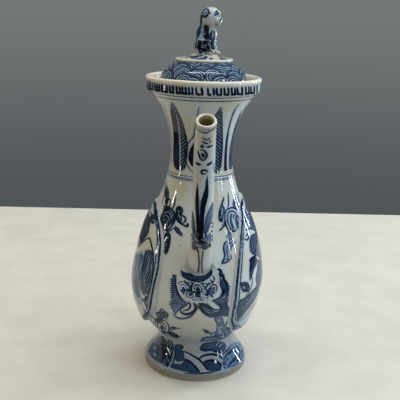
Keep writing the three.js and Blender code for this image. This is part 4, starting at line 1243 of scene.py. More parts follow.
leftPanelArt = {"on": "left", "washes": [
    ("D", None, [(150, 216), (153, 215), (155.5, 217), (155, 222.5), (151.5, 223.5)], [(149, 212),
     (150.5, 220), (149.5, 227), (148.5, 233), (145, 238), (142, 242), (138.5, 247.5), (138, 241),
     (140.5, 233), (143.5, 224), (146.5, 216)]),
    ("M", None, [(141, 254), (144, 257), (142, 270), (140.5, 284), (140.5, 296), (137, 297),
     (132.5, 285), (131, 271), (132.5, 259), (137, 254)]),
    ("P", None, [(136, 252), (143, 252), (141, 266), (140, 284), (142, 302), (138, 303), (131.5, 286),
     (130, 270), (131.5, 258)]),
    ("D", (-50, 1.9, 1), [(144.5, 252), (149, 249.5), (153, 253), (154.3, 260), (153.8, 270),
     (152.8, 278), (151.5, 286), (149.5, 294), (145, 294), (141.5, 291), (140.5, 284), (141.5, 275),
     (143.5, 264)]),
], "strokes": [
    ("L", 1.8, [(141, 297.5), (145, 303), (147, 308.5)]),
    ("L", 1.5, [(138, 248), (142, 243), (145.5, 239.6), (149, 238), (151, 243), (152.5, 250),
     (153.5, 256)]),
    ("L", 1.3, [(145.3, 250), (143.6, 262), (141.5, 275), (140.4, 285), (142, 292)]),
    ("D", 1.3, [(147.5, 295), (146.5, 300), (145, 304)]),
    ("D", 1.2, [(152, 207), (150.5, 211), (152, 215), (154.5, 213), (155, 208.5), (153, 206)],
         [(142, 293.5), (144.5, 295), (145.5, 298), (143.5, 300), (141.5, 298.5)]),
    ("M", 1.6, [(142, 306), (145, 312), (147, 317)]),
    ("M", 1.2, [(152.5, 202), (155, 203.5), (156.3, 206)]),
    ("W", 1.2, [(153.6, 219), (154.3, 221.5)], [(140.3, 278), (139.6, 290), (141, 302)]),
    ("W", 1, [(139, 260), (136.5, 268), (135.5, 278)]),
    ("W", 0.9, [(138.5, 268), (137.6, 280), (138.6, 290)], [(134.5, 264), (133.2, 274), (134, 283)],
         [(141.3, 262), (140, 270)]),
    ("W", 0.8, [(147.3, 226), (146, 231)], [(149.5, 256), (148, 266), (147, 273)], [(146, 268),
     (144.5, 280), (145, 288)], [(143.6, 231), (142.3, 235)]),
    ("W", 0.7, [(152, 262), (151, 272), (149.5, 280)]),
]}

rightPanelArt = {"on": "right", "washes": [
    ("D", None, [(250, 260), (254, 257), (257, 258), (257, 263), (254, 270), (252, 277), (249.8, 281),
     (249.3, 272), (249.6, 265)], [(240.3, 284), (243, 282.6), (247, 283), (249, 286.5), (248.3, 290.5),
     (245, 291.8), (242, 290)]),
    ("D", (84, 3, 1), [(244, 199), (249, 195.5), (254, 202), (258, 213), (260.5, 225), (260, 233),
     (253, 230), (248, 228), (245, 220)]),
    ("D", (80, 3, 1), [(250, 237), (253, 234), (259, 232), (262, 241), (262.8, 252), (261, 258),
     (256, 256), (251, 253), (249.5, 247)]),
    ("D", (80, 3, 1), [(257.5, 260), (262, 257), (262.8, 270), (261, 284), (258, 288), (256, 280)]),
    ("D", (46, 3.3, 1), [(239.5, 300), (245, 298), (250, 293), (254, 289), (258, 283), (259, 290),
     (256, 298), (252, 305), (246, 312), (241, 319), (237, 322), (236.5, 312), (238, 305)]),
], "strokes": [
    ("L", 2, [(249.5, 261), (252, 258), (256, 255.5)]),
    ("L", 1.5, [(246, 236), (248, 234), (249, 237), (247, 240), (244.6, 239)]),
    ("L", 1.4, [(245.8, 230), (249, 228.6), (250.2, 226)], [(239.3, 300.4), (245, 298), (250, 293.4),
     (254.5, 288.5)]),
    ("L", 1.2, [(240, 283.4), (243.5, 282.4), (247.6, 283.2), (249.3, 287), (248, 291), (244.6, 292),
     (241.8, 289.6)]),
    ("D", 1.8, [(245.5, 208), (245, 216), (246.5, 225)], [(254, 229), (257, 238), (258.3, 246),
     (258, 250.5)]),
    ("D", 1.6, [(250.5, 207), (252, 214), (254, 222)]),
    ("D", 1.4, [(258.5, 262), (257, 272), (255.6, 280)]),
    ("D", 1.3, [(238, 324), (243, 319), (252, 308), (259, 296)], [(237, 325), (241, 328), (245, 322)]),
    ("D", 1.2, [(249.8, 238.5), (250, 246), (251, 252)], [(252.5, 277), (252, 284), (249.5, 291),
     (245, 296.5)]),
    ("W", 1.3, [(243.4, 286.4), (244.6, 289)]),
    ("W", 1.2, [(247.5, 210), (248.6, 218), (249, 225)], [(238, 321), (246, 312), (254, 301),
     (259, 290)]),
    ("W", 0.9, [(241, 310), (248, 303), (254, 295), (257.5, 287)]),
]}

# Pixels across the rim: each upright stroke and its width, and the feet that join them
fretSeen = {
    "uprights": [(148.2, 1.6), (150.2, 2.2), (152.6, 1.6), (154.9, 1.9), (157.1, 1.9), (159.5, 2),
                 (162.3, 2.4), (164.3, 1.6), (166.9, 2.1), (169.9, 2.1), (173.1, 2.2), (176.7, 2.2),
                 (179.9, 1.9), (182.7, 2), (185.9, 2.1), (189.2, 2), (192.6, 2), (196.4, 1.9),
                 (202.2, 2.3), (208.2, 2), (213.8, 2.1), (217, 2.1), (221.3, 2), (224.7, 2), (228.6, 2.1),
                 (231.9, 2.1), (235.2, 2), (237.8, 2.1), (242.3, 2.3), (246, 1.9), (249, 1.9),
                 (251.2, 1.7), (254.4, 2), (257.2, 1.8)],
    "feet": [(148, 152.6), (154.9, 159.5), (162.3, 167), (170, 173.5), (176.7, 180), (180.5, 187),
             (189.2, 190.5), (196.6, 200.5), (208.2, 211), (217, 221.5), (224.7, 228.6), (231.9, 235.4),
             (237.8, 242.3), (245.6, 248.8), (250.8, 254.6)],
}

lionMarks = {"on": "lion", "washes": [
    ("L", None, [(204.2, 25.2), (207, 25.3), (209, 28), (208.7, 33), (208.7, 38.8), (204.4, 38.8),
     (204.2, 32)], [(198, 40), (205, 40.5), (209, 41), (209.4, 44.6), (206.2, 43.6), (205.6, 46.3),
     (201.5, 46.8), (199.4, 49), (197, 52), (196.3, 50), (197.4, 45)]),
    ("D", None, [(200.3, 14), (200, 20), (200.2, 24), (198.3, 26), (197.2, 30), (196.3, 36), (196, 39),
     (198, 38), (200, 34), (201, 30), (201.7, 25), (202, 20), (202, 15)], [(198, 46), (201, 47.5),
     (205.6, 47), (209.4, 45), (209.6, 50), (205, 51.5), (198, 52)], [(199, 49.8), (202.2, 49.6),
     (205.2, 50.2), (203, 52), (200, 52.8), (197.6, 51.5)]),
    ("M", None, [(213.9, 16), (214.2, 13), (215.2, 10.8), (216.7, 10.3), (218.2, 12), (218.5, 14),
     (217, 15), (215.4, 15.4)], [(210.8, 31), (213, 30.4), (214.8, 31), (215.2, 40), (216, 44),
     (215.4, 48.5), (211.2, 48.7), (211, 40)], [(208.8, 33), (210.6, 33), (210.8, 40), (208.8, 40)]),
    ("P", None, [(199.8, 27.5), (203.6, 27), (203.8, 37), (198.6, 38)]),
], "strokes": [
    ("L", 1.7, [(211, 41.5), (210.4, 44.3)]),
    ("L", 1.6, [(219.6, 21.2), (220.3, 19.6), (221.2, 18.8)], [(215.6, 41.5), (216.6, 46.5)]),
    ("L", 1.5, [(211.2, 31), (211.7, 35)]),
    ("L", 1.3, [(207, 51.6), (210, 50.4), (212.6, 52.2)]),
    ("L", 1.1, [(217.4, 11.8), (217.9, 13.6)]),
    ("D", 1.3, [(202.9, 12.4), (204.3, 9.7), (206.7, 8.8), (208.5, 10.2), (208.3, 12.8), (206.4, 15.2),
     (203.8, 16), (202.3, 14.6), (202.9, 12.4)], [(202.4, 16.8), (205, 17), (207.6, 15.6)],
         [(215.4, 26.4), (216, 25.4), (217.2, 24.6)], [(215.5, 55), (218, 56.5), (219.5, 56)]),
    ("D", 1.1, [(201.3, 13.4), (202.2, 10.4), (204, 8.3)], [(213.6, 31), (213.9, 37)]),
    ("D", 1, [(213.2, 39), (213, 48)]),
    ("M", 1.2, [(209.3, 14), (210.4, 12.4)]),
    ("M", 1, [(205.2, 13.2), (206.9, 10.9)]),
    ("M", 0.9, [(218.4, 16.6), (220, 16.2), (221, 17)]),
    ("W", 1.4, [(214.4, 40), (214.6, 47.5)]),
    ("W", 1.1, [(212.6, 31), (212.8, 38)]),
    ("W", 1, [(201.2, 46.8), (203.6, 45.4), (206.4, 45.2), (208.4, 46.6)]),
    ("W", 0.9, [(204.4, 48.4), (207.6, 48)]),
    ("W", 0.8, [(215.5, 13.4), (216, 12)]),
]}

capMarks = {"on": "cap", "washes": [
    ("D", None, [(220, 57.5), (222, 55.5), (224.5, 58), (223.5, 60), (220.5, 60)]),
    ("M", None, [(190.5, 58), (195, 56.3), (200, 55.2), (206, 55.5), (208, 57), (206, 59.2), (200, 59.7),
     (194, 59.3)]),
], "strokes": [
    ("D", 1.3, [(200, 59.5), (204, 58.6), (207.6, 57)]),
    ("D", 1.2, [(191, 57.8), (196, 56.3), (202, 55.2)]),
    ("D", 1, [(209, 58.6), (213, 58.8)]),
    ("W", 0.8, [(196, 58), (201, 57), (205, 56.4)]),
]}

inkLayers = {"L": "inkLine", "D": "inkDark", "M": "inkMid", "P": "inkPale", "W": "inkWhite"}
thinnedLayers = {"L": "inkDark", "D": "inkMid", "M": "inkMid", "P": "inkPale", "W": "inkWhite"}


def paintMotif(painting, motif, place=None):
    place = place or {"at": (0, 0)}
    inks = thinnedLayers if motif.get("thinned") else inkLayers
    perPixel = canvases[motif["on"]]["mmPerPixel"]
    for layer, hatch, *shapes in motif["washes"]:
        hatch = hatch and (hatch[0], hatch[1] * perPixel, openHatch if len(hatch) > 2 else plainHatch)
        for pixels in shapes:
            wash(painting, place, inks[layer], paperPoints(motif["on"], pixels), hatch)
    for layer, width, *lines in motif["strokes"]:
        for pixels in lines:
            brush(painting, place, inks[layer], paperPoints(motif["on"], pixels), width * perPixel)


def mirrored(points):
    return [(-x, y) for x, y in points]


def plantainLeaf(painting, at, height, half):
    # an upright plantain leaf: dark outline, washed halves, white midrib and pale veins
    place = {"at": at}
    side = [(half * 0.84, 0), (half * 0.97, height * 0.16), (half, height * 0.34),
            (half * 0.68, height * 0.68), (half * 0.22, height * 0.92), (0, height)]
    left = mirrored(side)
    wash(painting, place, "inkDark", [(-0.5, 0.4)] + left[:-1] + [(-0.3, height - 1)])
    wash(painting, place, "inkDark", [(0.6, 0.4)] + side[:-1] + [(0.3, height - 1)], (40, 1.7, openHatch))
    for edge in (side, left):
        brush(painting, place, "inkLine", edge, 1.0, 0.8)
    brush(painting, place, "inkWhite", [(0, -0.5), (0, height * 0.62)], 0.9, 0.3)


def leafMark(painting, at, length, turn):
    # a pointed leaf from its stalk, with a dark outline and a pale midrib
    place = {"at": at, "turn": turn}
    side = [(0, 0), (length * 0.2, length * 0.3), (length * 0.17, length * 0.64), (0, length)]
    other = mirrored(side)
    wash(painting, place, "inkDark", side + other[2:0:-1], (35, 1.3, plainHatch))
    for edge in (side, other):
        brush(painting, place, "inkLine", edge, 0.7)
    brush(painting, place, "inkWhite", [(0, length * 0.12), (0, length * 0.8)], 0.5)


def peony(painting, at, radius, turn, petals):
    # an open bloom: two rounds of notched petals about a dark heart
    for share, count, layer in ((0.64, petals, "inkMid"), (0.3, petals - 2, "inkDark")):
        base, tall, wide = radius * (share - 0.16), radius * 0.46, radius * 0.3
        petal = [(0, base), (wide * 0.8, base + tall * 0.35), (wide, base + tall * 0.75),
                 (wide * 0.45, base + tall), (0, base + tall * 0.82)]
        petal += mirrored(petal[3:0:-1])
        for k in range(count):
            place = {"at": at, "turn": turn + 360 * (k + share) / count}
            wash(painting, place, layer, petal, (90, 1.25, plainHatch))
            brush(painting, place, "inkLine", petal, 0.6, closed=True)
    heart = [(radius * 0.17 * math.cos(a), radius * 0.17 * math.sin(a)) for a in np.arange(0, 6.2, 0.9)]
    wash(painting, {"at": at}, "inkLine", heart)


neckLeaves = {"turns": (96, 132, 168, 204, 240), "base": 167.2, "height": 50.0, "half": 7.6, "ring": 162.9,
              "ringWide": 0.5}


def paintNeck(painting):
    for azimuth in neckLeaves["turns"]:
        plantainLeaf(painting, (azimuth, neckLeaves["base"]), neckLeaves["height"], neckLeaves["half"])
    paintMotif(painting, neckLeavesSeen)
    ringLine(painting, "inkMid", neckLeaves["ring"], neckLeaves["ringWide"])


fretBand = {"units": 52, "keyShare": 0.56, "low": 226.9, "high": 231.6, "stroke": 1.5, "widest": 4.0,
            "seenTo": 72}   # degrees to each side


def rimAzimuth(x):
    # the azimuth at which the middle of the rim band is seen at a pixel across
    azimuth = np.arange(-80, 81, 0.5)
    turned = np.radians(azimuth)
    radius = rimForm["radius"]
    middle = np.full(len(turned), rimForm["middle"])
    seen = toPixels(np.column_stack([radius * np.sin(turned), -radius * np.cos(turned), middle]))
    return float(np.interp(x, seen[:, 0], azimuth))


def paintFret(painting):
    # upright squared keys, open at the top; those at the front are as the photograph shows them
    form = fretBand
    tall = form["high"] - form["low"]
    half = math.pi * rimForm["radius"] / form["units"] * form["keyShare"]
    for k in range(form["units"]):
        azimuth = 360 / form["units"] * k
        if abs((azimuth + 180) % 360 - 180) < form["seenTo"]:
            continue
        place = {"at": (azimuth, form["low"]), "turn": 5}
        key = [(-half, tall), (-half, 0.5), (half, 0.5), (half, tall)]
        for stroke in zip(key, key[1:]):
            brush(painting, place, "inkLine", stroke, form["stroke"], 0.9)
    for x, width in fretSeen["uprights"]:
        azimuth = rimAzimuth(x)
        width = width * canvases["rim"]["mmPerPixel"] / math.cos(math.radians(azimuth))
        place = {"at": (azimuth, form["low"])}
        brush(painting, place, "inkLine", [(-0.3, tall), (0.2, 0.3)], min(width, form["widest"]), 0.85)
    for start, end in fretSeen["feet"]:
        reach = math.radians(rimAzimuth(end) - rimAzimuth(start)) * rimForm["radius"]
        place = {"at": (rimAzimuth(start), form["low"])}
        brush(painting, place, "inkLine", [(0, 0.4), (reach, 0.4)], form["stroke"], 0.9)


def paintFoot(painting):
    # the picture seen in front goes on behind
    paintMotif(painting, footPainting, {"at": (180, 0)})
    wipe(painting, np.abs(painting["across"]) < footForm["seenTo"])
    paintMotif(painting, footPainting)
    ringLine(painting, "inkPale", footForm["ring"], footForm["ringWide"])


# mm on the handle: the border lines, the stem, the leaves and what all three leave clear at the ends
vine = {"border": 7.2, "borderClear": 14, "swing": 2.8, "wave": 11.0, "step": 3.0, "clear": 18,
        "leaf": 6.5, "leafClear": 24, "lean": 58}


def paintHandle(painting, length):
    # a scrolling vine between two lines down the strap's outer face
    place = {"at": (180, 0)}
    start, clear, leafClear = vine["borderClear"], vine["clear"], vine["leafClear"]
    swing, wave = vine["swing"], vine["wave"]
    for edge in (-vine["border"], vine["border"]):
        brush(painting, place, "inkLine", [(edge, start), (edge, length - start)], 0.9, 0.9)
    stem = [(swing * math.sin(s / wave), s) for s in np.arange(clear, length - clear, vine["step"])]
    brush(painting, place, "inkLine", stem, 0.9, 0.7)
    degrees = 180 / math.pi / handleForm["halfWidth"]
    for k, s in enumerate(np.arange(leafClear, length - leafClear, wave * math.pi / 3)):
        across = swing * math.sin(s / wave)
        leafMark(painting, (180 + across * degrees, s), vine["leaf"], vine["lean"] * (1 if k % 2 else -1))


cloudScroll = {"line": [(-2, -4), (2, -2), (2, 2.5), (-1.2, 2.5), (-0.8, 0)], "every": 9.0}


def paintStrut(painting, length):
    # cloud scrolls on each flank of the bracket
    every = cloudScroll["every"]
    for azimuth in (-90, 90):
        for s in np.arange(every, length - every + 1, every):
            place = {"at": (azimuth, s), "turn": 0 if azimuth < 0 else 180}
            brush(painting, place, "inkDark", cloudScroll["line"], 1.0)


bodyRings = {"inkMid": 161.0, "inkPale": 159.8}
bodyRingWide = 0.9


def paintBody(painting):
    for layer, height in bodyRings.items():
        ringLine(painting, layer, height, bodyRingWide)
    for motif in (leftSpray, rightSpray, maneLeft, maneRight, lobes, lowLeftSpray, lowRightSpray):
        paintMotif(painting, motif)
    for motif in (leftSpray, rightSpray, lowLeftSpray, lowRightSpray):
        paintMotif(painting, motif, {"at": (180, 0)})


# The side panels' own picture, of which the camera sees only the near edge: peonies rising from a rock
panelSprig = {
    "stems": [[(3, 41), (-1, 54), (-8, 68), (-7, 84)], [(-2, 55), (-12, 60), (-20, 66)],
              [(-9, 106), (-5, 117), (1, 127)], [(-7, 70), (-16, 80), (-25, 92)]],
    "blooms": [(-8, 95, 13.0, 10, 7), (-22, 66, 8.5, 40, 7), (1.5, 129, 4.6, 0, 5), (-26, 94, 4.4, 30, 5)],
    "leaves": [(-8, 80, 12, 70), (-6, 76, 12, -60), (-1, 56, 11, -50), (-9, 68, 9, 100), (-6, 113, 9, 60),
               (-4, 117, 9, -55), (-16, 60, 9, 150), (-21, 85, 8, 20), (-13, 108, 8, 75)],
    "rock": [(-20, 43), (-15, 52), (-9, 50), (-5, 57), (1, 52), (6, 55), (10, 46), (14, 44), (8, 40),
             (-8, 39)],
    "clefts": [[(-14, 50), (-12, 44)], [(-4, 54), (-5, 45), (-2, 42)], [(5, 52), (4, 45)]],
    "inset": ((1.7, "inkLine", 0.9), (3.5, "inkLine", 0.55)),
    "hiddenTo": {-90: 12, 90: 10},   # mm from the middle, past which the photograph shows the painting
}


def paintPanel(painting, side):
    front = -1 if side > 0 else 1
    sprig = panelSprig
    middle = {"at": (0, 0)}

    def across(points):
        return [(front * x, y) for x, y in points]

    wash(painting, middle, "inkMid", across(sprig["rock"]), (20, 1.6, plainHatch))
    brush(painting, middle, "inkLine", across(sprig["rock"]), 0.9, closed=True)
    for line in sprig["clefts"] + sprig["stems"]:
        brush(painting, middle, "inkLine", across(line), 1.1)
    for x, y, length, turn in sprig["leaves"]:
        leafMark(painting, (front * x, y), length, front * turn)
    for x, y, radius, turn, petals in sprig["blooms"]:
        peony(painting, (front * x, y), radius, turn, petals)
    wipe(painting, painting["across"] * front > sprig["hiddenTo"][side])
    paintMotif(painting, leftPanelArt if side < 0 else rightPanelArt)
    for inset, layer, width in sprig["inset"]:
        brush(painting, middle, layer, panelOutline(side, inset), width, closed=True)


collarCurls = {
    "curls": [(-11.5, 83.5, 3.7, 10), (-6.6, 79.2, 3.3, 150), (-1.2, 84.0, 3.8, -30), (-0.6, 77.0, 2.8, 170),
              (4.6, 79.4, 3.2, 100), (9.8, 83.6, 4.2, -60), (-13.8, 90.6, 2.2, 20), (11.0, 90.8, 2.2, -10)],
    "arcs": [(1.0, 235), (0.5, 190)],    # each curl's arcs: share of its size and degrees
    "uneven": 0.12,
    "ridge": 0.62,
    "bead": 2.0,         # the plain scalloped edge
    "pool": (0.7, 2.6),  # mm from a ridge between which blue pools, and how far its edge swells
    "swell": 0.9,
    "top": 88.6,
    "ridgeTop": 88,
}


def curlLines():
    lines = []
    for x, y, size, start in collarCurls["curls"]:
        for share, sweep in collarCurls["arcs"]:
            angle = np.radians(start + np.linspace(0, sweep, 24))
            reach = size * share * (1 + collarCurls["uneven"] * np.sin(2.7 * angle + 3 * x))
            lines.append(np.column_stack([x + reach * np.cos(angle), y + reach * np.sin(angle)]))
    return lines


def paintCollar(painting):
    # blue pools in the hollows beside the moulded curls and leaves their ridges and the edge white
    up, form = painting["up"], collarCurls
    near, far = form["pool"]
    swell = form["swell"] * np.sin(painting["across"] * 1.3) * np.sin(up * 1.1 + 0.6)
    beside = np.maximum(near - ridgeAway, ridgeAway - far - 1.5 * swell)
    hollow = np.maximum(np.maximum(beside, form["bead"] + 0.5 - edgeAway), up - form["top"])
    painting["inkMid"] = np.minimum(painting["inkMid"], hollow)
    painting["inkDark"] = np.minimum(painting["inkDark"], hollow + 0.7 + np.maximum(swell, 0))
    paintMotif(painting, collarPainting)
    ridge = (ridgeAway < form["ridge"]) & (up < form["ridgeTop"])
    painting["inkWhite"][ridge] = np.minimum(painting["inkWhite"], ridgeAway - 0.5)[ridge]


waves = {
    "rows": [(0.5, 15, 0.1), (5.5, 14, 0.6), (10.5, 13, 0.1), (14.8, 11, 0.55)],   # mm up, count, start
    "reach": 8.8,        # mm from a wave's middle to its outermost arc
    "pitch": 1.9,
    "jitter": (0.36, 2.1),
    "phase": 1000,       # the hatch phase of white scratched through a dark ground
    "seed": 4,
}


def domePaper(places):
    # azimuth, and mm along the dome from its lower edge
    azimuth, height, scale = around(places)
    outline = softCurve(coverForm["outline"], 0.4)
    return azimuth, np.interp(height, outline[:, 1], lengths(outline)), scale


def paintDome(painting):
    # overlapping waves scratched white through a dark ground, each a fan of arcs
    painting["inkDark"][:] = -0.15
    painting["inkMid"][:] = -0.6
    random = np.random.default_rng(waves["seed"])
    free = np.ones(len(painting["up"]), bool)
    painting["hatch"][:] = waves["phase"]
    for low, count, start in waves["rows"]:
        step = 360 / count
        shift = random.uniform(-1, 1, count + 1) * step * waves["jitter"][0]
        lift = random.uniform(-1, 1, count + 1) * waves["jitter"][1]
        nearest = np.full(len(free), 99.0)
        number = np.floor((painting["across"] + 180) / step - start + 0.5)
        for beside in (-1, 0, 1):
            k = ((number + beside) % count).astype(int)
            centre = (number + beside + start) * step - 180 + shift[k]
            away = ((painting["across"] - centre + 180) % 360 - 180) * painting["scale"]
            nearest = np.minimum(nearest, np.hypot(away, painting["up"] - low - lift[k]))
        inside = free & (nearest < waves["reach"])
        painting["hatch"][inside] = waves["phase"] + nearest[inside] / waves["pitch"]
        painting["inkLine"][inside] = np.abs(nearest[inside] - waves["reach"] + 0.5) - 0.45
        free &= ~inside


def paintCap(painting):
    for azimuth in (0, 180):
        paintMotif(painting, capMarks, {"at": (azimuth, 0)})


def paintLion(painting):
    # marks seen on its front; behind and on its right flank the mane falls in dark locks
    facing = np.empty(len(painting["up"]) * 3)
    painting["obj"].data.vertex_normals.foreach_get("vector", facing)
    facing = facing.reshape(-1, 3)
    back = (facing[:, 1] > 0.3) | ((facing[:, 0] < -0.75) & (painting["up"] < 276))
    paintMotif(painting, lionMarks)
    wipe(painting, back)
    mane = back & (painting["up"] > 256.5)
    locks = painting["across"] + 0.9 * np.sin(painting["up"] * 0.9)
    painting["inkDark"][mane] = -1.5
    painting["hatch"][mane] = plainHatch + locks[mane] / 1.5


# How thick the reliefs are and how far they are sunk into the wall, in mm
reliefSetup = {"sunk": 0.25, "thickness": 1.0, "padThickness": 0.8}


def outerSide(places):
    # the wall's outer side, which carries the painting
    return outward(places) > wallRadius(places[:, 2]) - 1.0


def outerFront(places):
    return outerSide(places) & (places[:, 1] < 8)


def innerSide(places):
    return outward(places) < wallRadius(places[:, 2]) - 1.2


def innerLine(form, spacing, lowest=0.0):
    # the wall's inner side, from its top down
    return softCurve([(r - form["wall"], max(z, lowest)) for r, z in form["outline"]], spacing)[::-1]


outer = softCurve(bodyForm["outline"], bodyForm["spacing"])
inner = innerLine(bodyForm, 5.0, bodyForm["floor"] + 0.6)
steps = (0, 12, 24)      # radii across the body's base and floor
body = spinOutline("body_wall", [(r, outer[0][1]) for r in steps] + [*outer, *inner]
                   + [(r, bodyForm["floor"]) for r in steps[::-1]], bodyForm["columns"])
refine(body, lambda m: outerSide(m) & (np.abs(around(m)[0]) < bodyForm["fineTo"]) & (m[:, 2] > 29.7))
paintOn(body, around, paintBody, innerSide)
finishPiece(body, cobalt, "ewer", ["body"])

outer = softCurve(neckForm["outline"], neckForm["spacing"])
neck = spinOutline("neck_wall", closedRing([*outer, *innerLine(neckForm, 4.0)]), neckForm["columns"])
refine(neck, outerFront)
paintOn(neck, around, paintNeck, innerSide)
finishPiece(neck, cobalt, "ewer", ["neck"])


def paintFlare(painting):
    paintNeck(painting)
    for height, width in flareForm["rings"]:
        ringLine(painting, "inkMid", height, width)


outline = closedRing([*softCurve(flareForm["outline"], 0.8), *softCurve(flareForm["inside"], 3.0)])
flare = spinOutline("mouth_flare_wall", outline, flareForm["columns"])
refine(flare, outerFront)
paintOn(flare, around, paintFlare, innerSide)
finishPiece(flare, cobalt, "ewer", ["mouth_flare"])

outline = closedRing(softCurve(rimForm["outline"], rimForm["spacing"]))
rim = spinOutline("mouth_rim_band", outline, rimForm["columns"])
paintOn(rim, around, paintFret, lambda p: outward(p) < rimForm["radius"] - 0.6)
finishPiece(rim, cobalt, "ewer", ["mouth_rim"])

hole, base, top = seatForm["hole"], seatForm["base"], seatForm["top"]
seat = spinOutline("cover_seat_ledge", closedRing([
    (hole, base), (seatForm["outer"], base), (seatForm["outer"], top), (hole + 0.5, top),
    (hole + 0.1, top - 0.2), (hole, top - 0.7),
]), seatForm["columns"])
finishPiece(seat, biscuit, "ewer", ["cover_seat"])

outer, inner = softCurve(footForm["outline"], 0.9), softCurve(footForm["inside"], 3.0)
outline = closedRing([*footForm["band"], *outer, *inner])
foot = spinOutline("spreading_foot", outline, footForm["columns"])
refine(foot, lambda m: (m[:, 1] < -4) & (m[:, 2] > 6)
       & (outward(m) > 32.0 + 0.3 * np.maximum(24 - m[:, 2], 0)))
paintOn(foot, around, paintFoot)
finishPiece(foot, cobalt, "ewer", ["foot"])
print("turned pieces of the ewer ready")


def faceOut(obj):
    with editing(obj):
        bpy.ops.mesh.normals_make_consistent(inside=False)


def layAlong(obj, path, flatness=1.0, narrowness=1.0):
    setCorners(obj, placeAlong(path, corners(obj), flatness, narrowness))
    faceOut(obj)


def paintSpout(painting):
    paintMotif(painting, spoutPainting)
    bore = outward(corners(painting["obj"])) < spoutForm["bore"] + 0.95
    wipe(painting, bore)
    # painted shade: the bore is painted darker and olive-brown
    painting["boreShade"][bore] = 1.0


spoutLength = pathLength(spoutForm["path"])
stations = np.arange(spoutForm["start"], spoutLength - 2.6, 0.9)
outer = [(spoutRadius(s), s) for s in stations]
inner = [(spoutForm["bore"] + 0.9 * (1 - s / spoutLength), s) for s in stations[::4]][::-1]
spout = spinOutline("spout_tube", closedRing(outer + inner), spoutForm["sides"])
refine(spout, lambda m: (m[:, 1] < 1) & (outward(m) > 6.3))
paintOn(spout, around, paintSpout)
layAlong(spout, spoutForm["path"])
finishPiece(spout, cobalt, "ewer", ["spout"])


def makeLip():
    top, radius, bore = spoutLength, spoutForm["lipRadius"], spoutForm["bore"]
    base = top - 2.75
    outline = [(bore, base), (radius - 0.75, base), (radius - 0.55, base + 0.25),
               (radius + 0.05, base + 0.75), (radius + 0.2, base + 1.5), (radius, top - 0.6),
               (radius - 0.45, top - 0.12), (radius - 0.95, top), (bore + 0.4, top - 0.15),
               (bore + 0.05, top - 0.6), (bore - 0.1, top - 1.3)]
    lip = spinOutline("spout_mouth_lip", closedRing(outline), spoutForm["sides"])
    applyModifier(lip, "SUBSURF", levels=2, render_levels=2)
    return lip


lip = makeLip()
p = corners(lip)
# painted shade fades in just inside the lip's bore
depth = np.clip((spoutLength - 0.9 - p[:, 2]) / 0.9, 0, 1)
boreShade = lip.data.attributes.new("boreShade", "FLOAT", "POINT")
boreShade.data.foreach_set("value", np.where(outward(p) < spoutForm["bore"] + 0.35, depth, 0.0))
layAlong(lip, spoutForm["path"])
finishPiece(lip, white, "ewer", ["spout_lip"], 60)

strutForm = {
    "path": [(20, 181), (30, 185.5), (40, 190.6), (50, 188.8), (60, 185.3), (68, 184)],
    "waist": 4.2,
    "swell": 0.8,
    "narrowness": 0.7,
    "sides": 48,
}
strutLength = pathLength(strutForm["path"])
outline = [(strutForm["waist"] + strutForm["swell"] * math.cos(s / strutLength * 4 * math.pi), s)
           for s in np.linspace(0, strutLength, 60)]
strut = spinOutline("spout_strut_bracket", [(0, 0), *outline, (0, strutLength)], strutForm["sides"])
paintOn(strut, around, lambda painting: paintStrut(painting, strutLength))
layAlong(strut, strutForm["path"], 1.0, strutForm["narrowness"])
finishPiece(strut, cobalt, "ewer", ["spout_strut"])

handleForm = {
    "path": [(16, 196), (30, 203), (47, 210), (64, 209.5), (78, 199), (85.4, 180), (87, 158), (82, 136),
             (73, 116), (60, 101), (44, 92)],
    "halfWidth": 6.5,
    "flatness": 0.5,
    "spread": 2.2,       # wider where it is luted on
    "spreadOver": 16,
    "sides": 96,
}


def strapHalf(s, length):
    over = handleForm["spreadOver"]
    spread = max(0, 1 - s / over) ** 2 + max(0, 1 - (length - s) / over) ** 2
    return handleForm["halfWidth"] + handleForm["spread"] * spread


handleLength = pathLength(handleForm["path"])
outline = [(strapHalf(s, handleLength), s) for s in np.arange(0, handleLength, 0.6)]
handle = spinOutline("strap_handle", [(0, 0), *outline, (0, handleLength)], handleForm["sides"])
paintOn(handle, around, lambda painting: paintHandle(painting, handleLength))
layAlong(handle, mirrored(handleForm["path"]), -handleForm["flatness"])
finishPiece(handle, cobalt, "ewer", ["handle"])
print("spout and handle ready")


def wrapOnWall(obj, side, thickness):
    # a piece modelled flat, as seen square on, is laid on the vessel's wall: x across, y up, z its relief
    p = corners(obj)
    radius = wallRadius(p[:, 1]) + p[:, 2]
    angle = math.radians(side) + np.arcsin(np.clip(p[:, 0] / wallRadius(p[:, 1]), -0.999, 0.999))
    setCorners(obj, np.stack([radius * np.sin(angle), -radius * np.cos(angle), p[:, 1]], axis=1))
    faceOut(obj)
    applyModifier(obj, "SOLIDIFY", thickness=thickness * mm, offset=-1.0)


def distanceTo(points, line):
    return np.min([away for share, away in segments(points, line)], axis=0)


def roundedEdge(away, width):
    # relief from 0 at the edge to 1 at the given distance from it
    return np.sqrt(1 - (1 - np.clip(away / width, 0, 1)) ** 2)


def drawRings(name, outline, centre, rings):
    # an outline is drawn from a circle, then drawn in ring by ring to its middle
    deselectAll()
    bpy.ops.mesh.primitive_circle_add(vertices=len(outline), radius=0.02)
    obj = settle(bpy.context.object, name)
    setCorners(obj, np.column_stack([outline, np.zeros(len(outline))]))
    middle = (centre[0] * mm, centre[1] * mm, 0)
    with editing(obj):
        for k in range(rings, 1, -1):
            bpy.ops.mesh.extrude_edges_move()
            bpy.ops.transform.resize(value=((k - 1) / k,) * 3, center_override=middle)
        bpy.ops.mesh.edge_face_add()
        bpy.ops.mesh.poke()
    return obj


def evenRing(points, count):
    line = softCurve(closedRing(points), 0.5)
    along = lengths(line)
    return pointsAt(np.linspace(0, along[-1], count, endpoint=False), along, line)


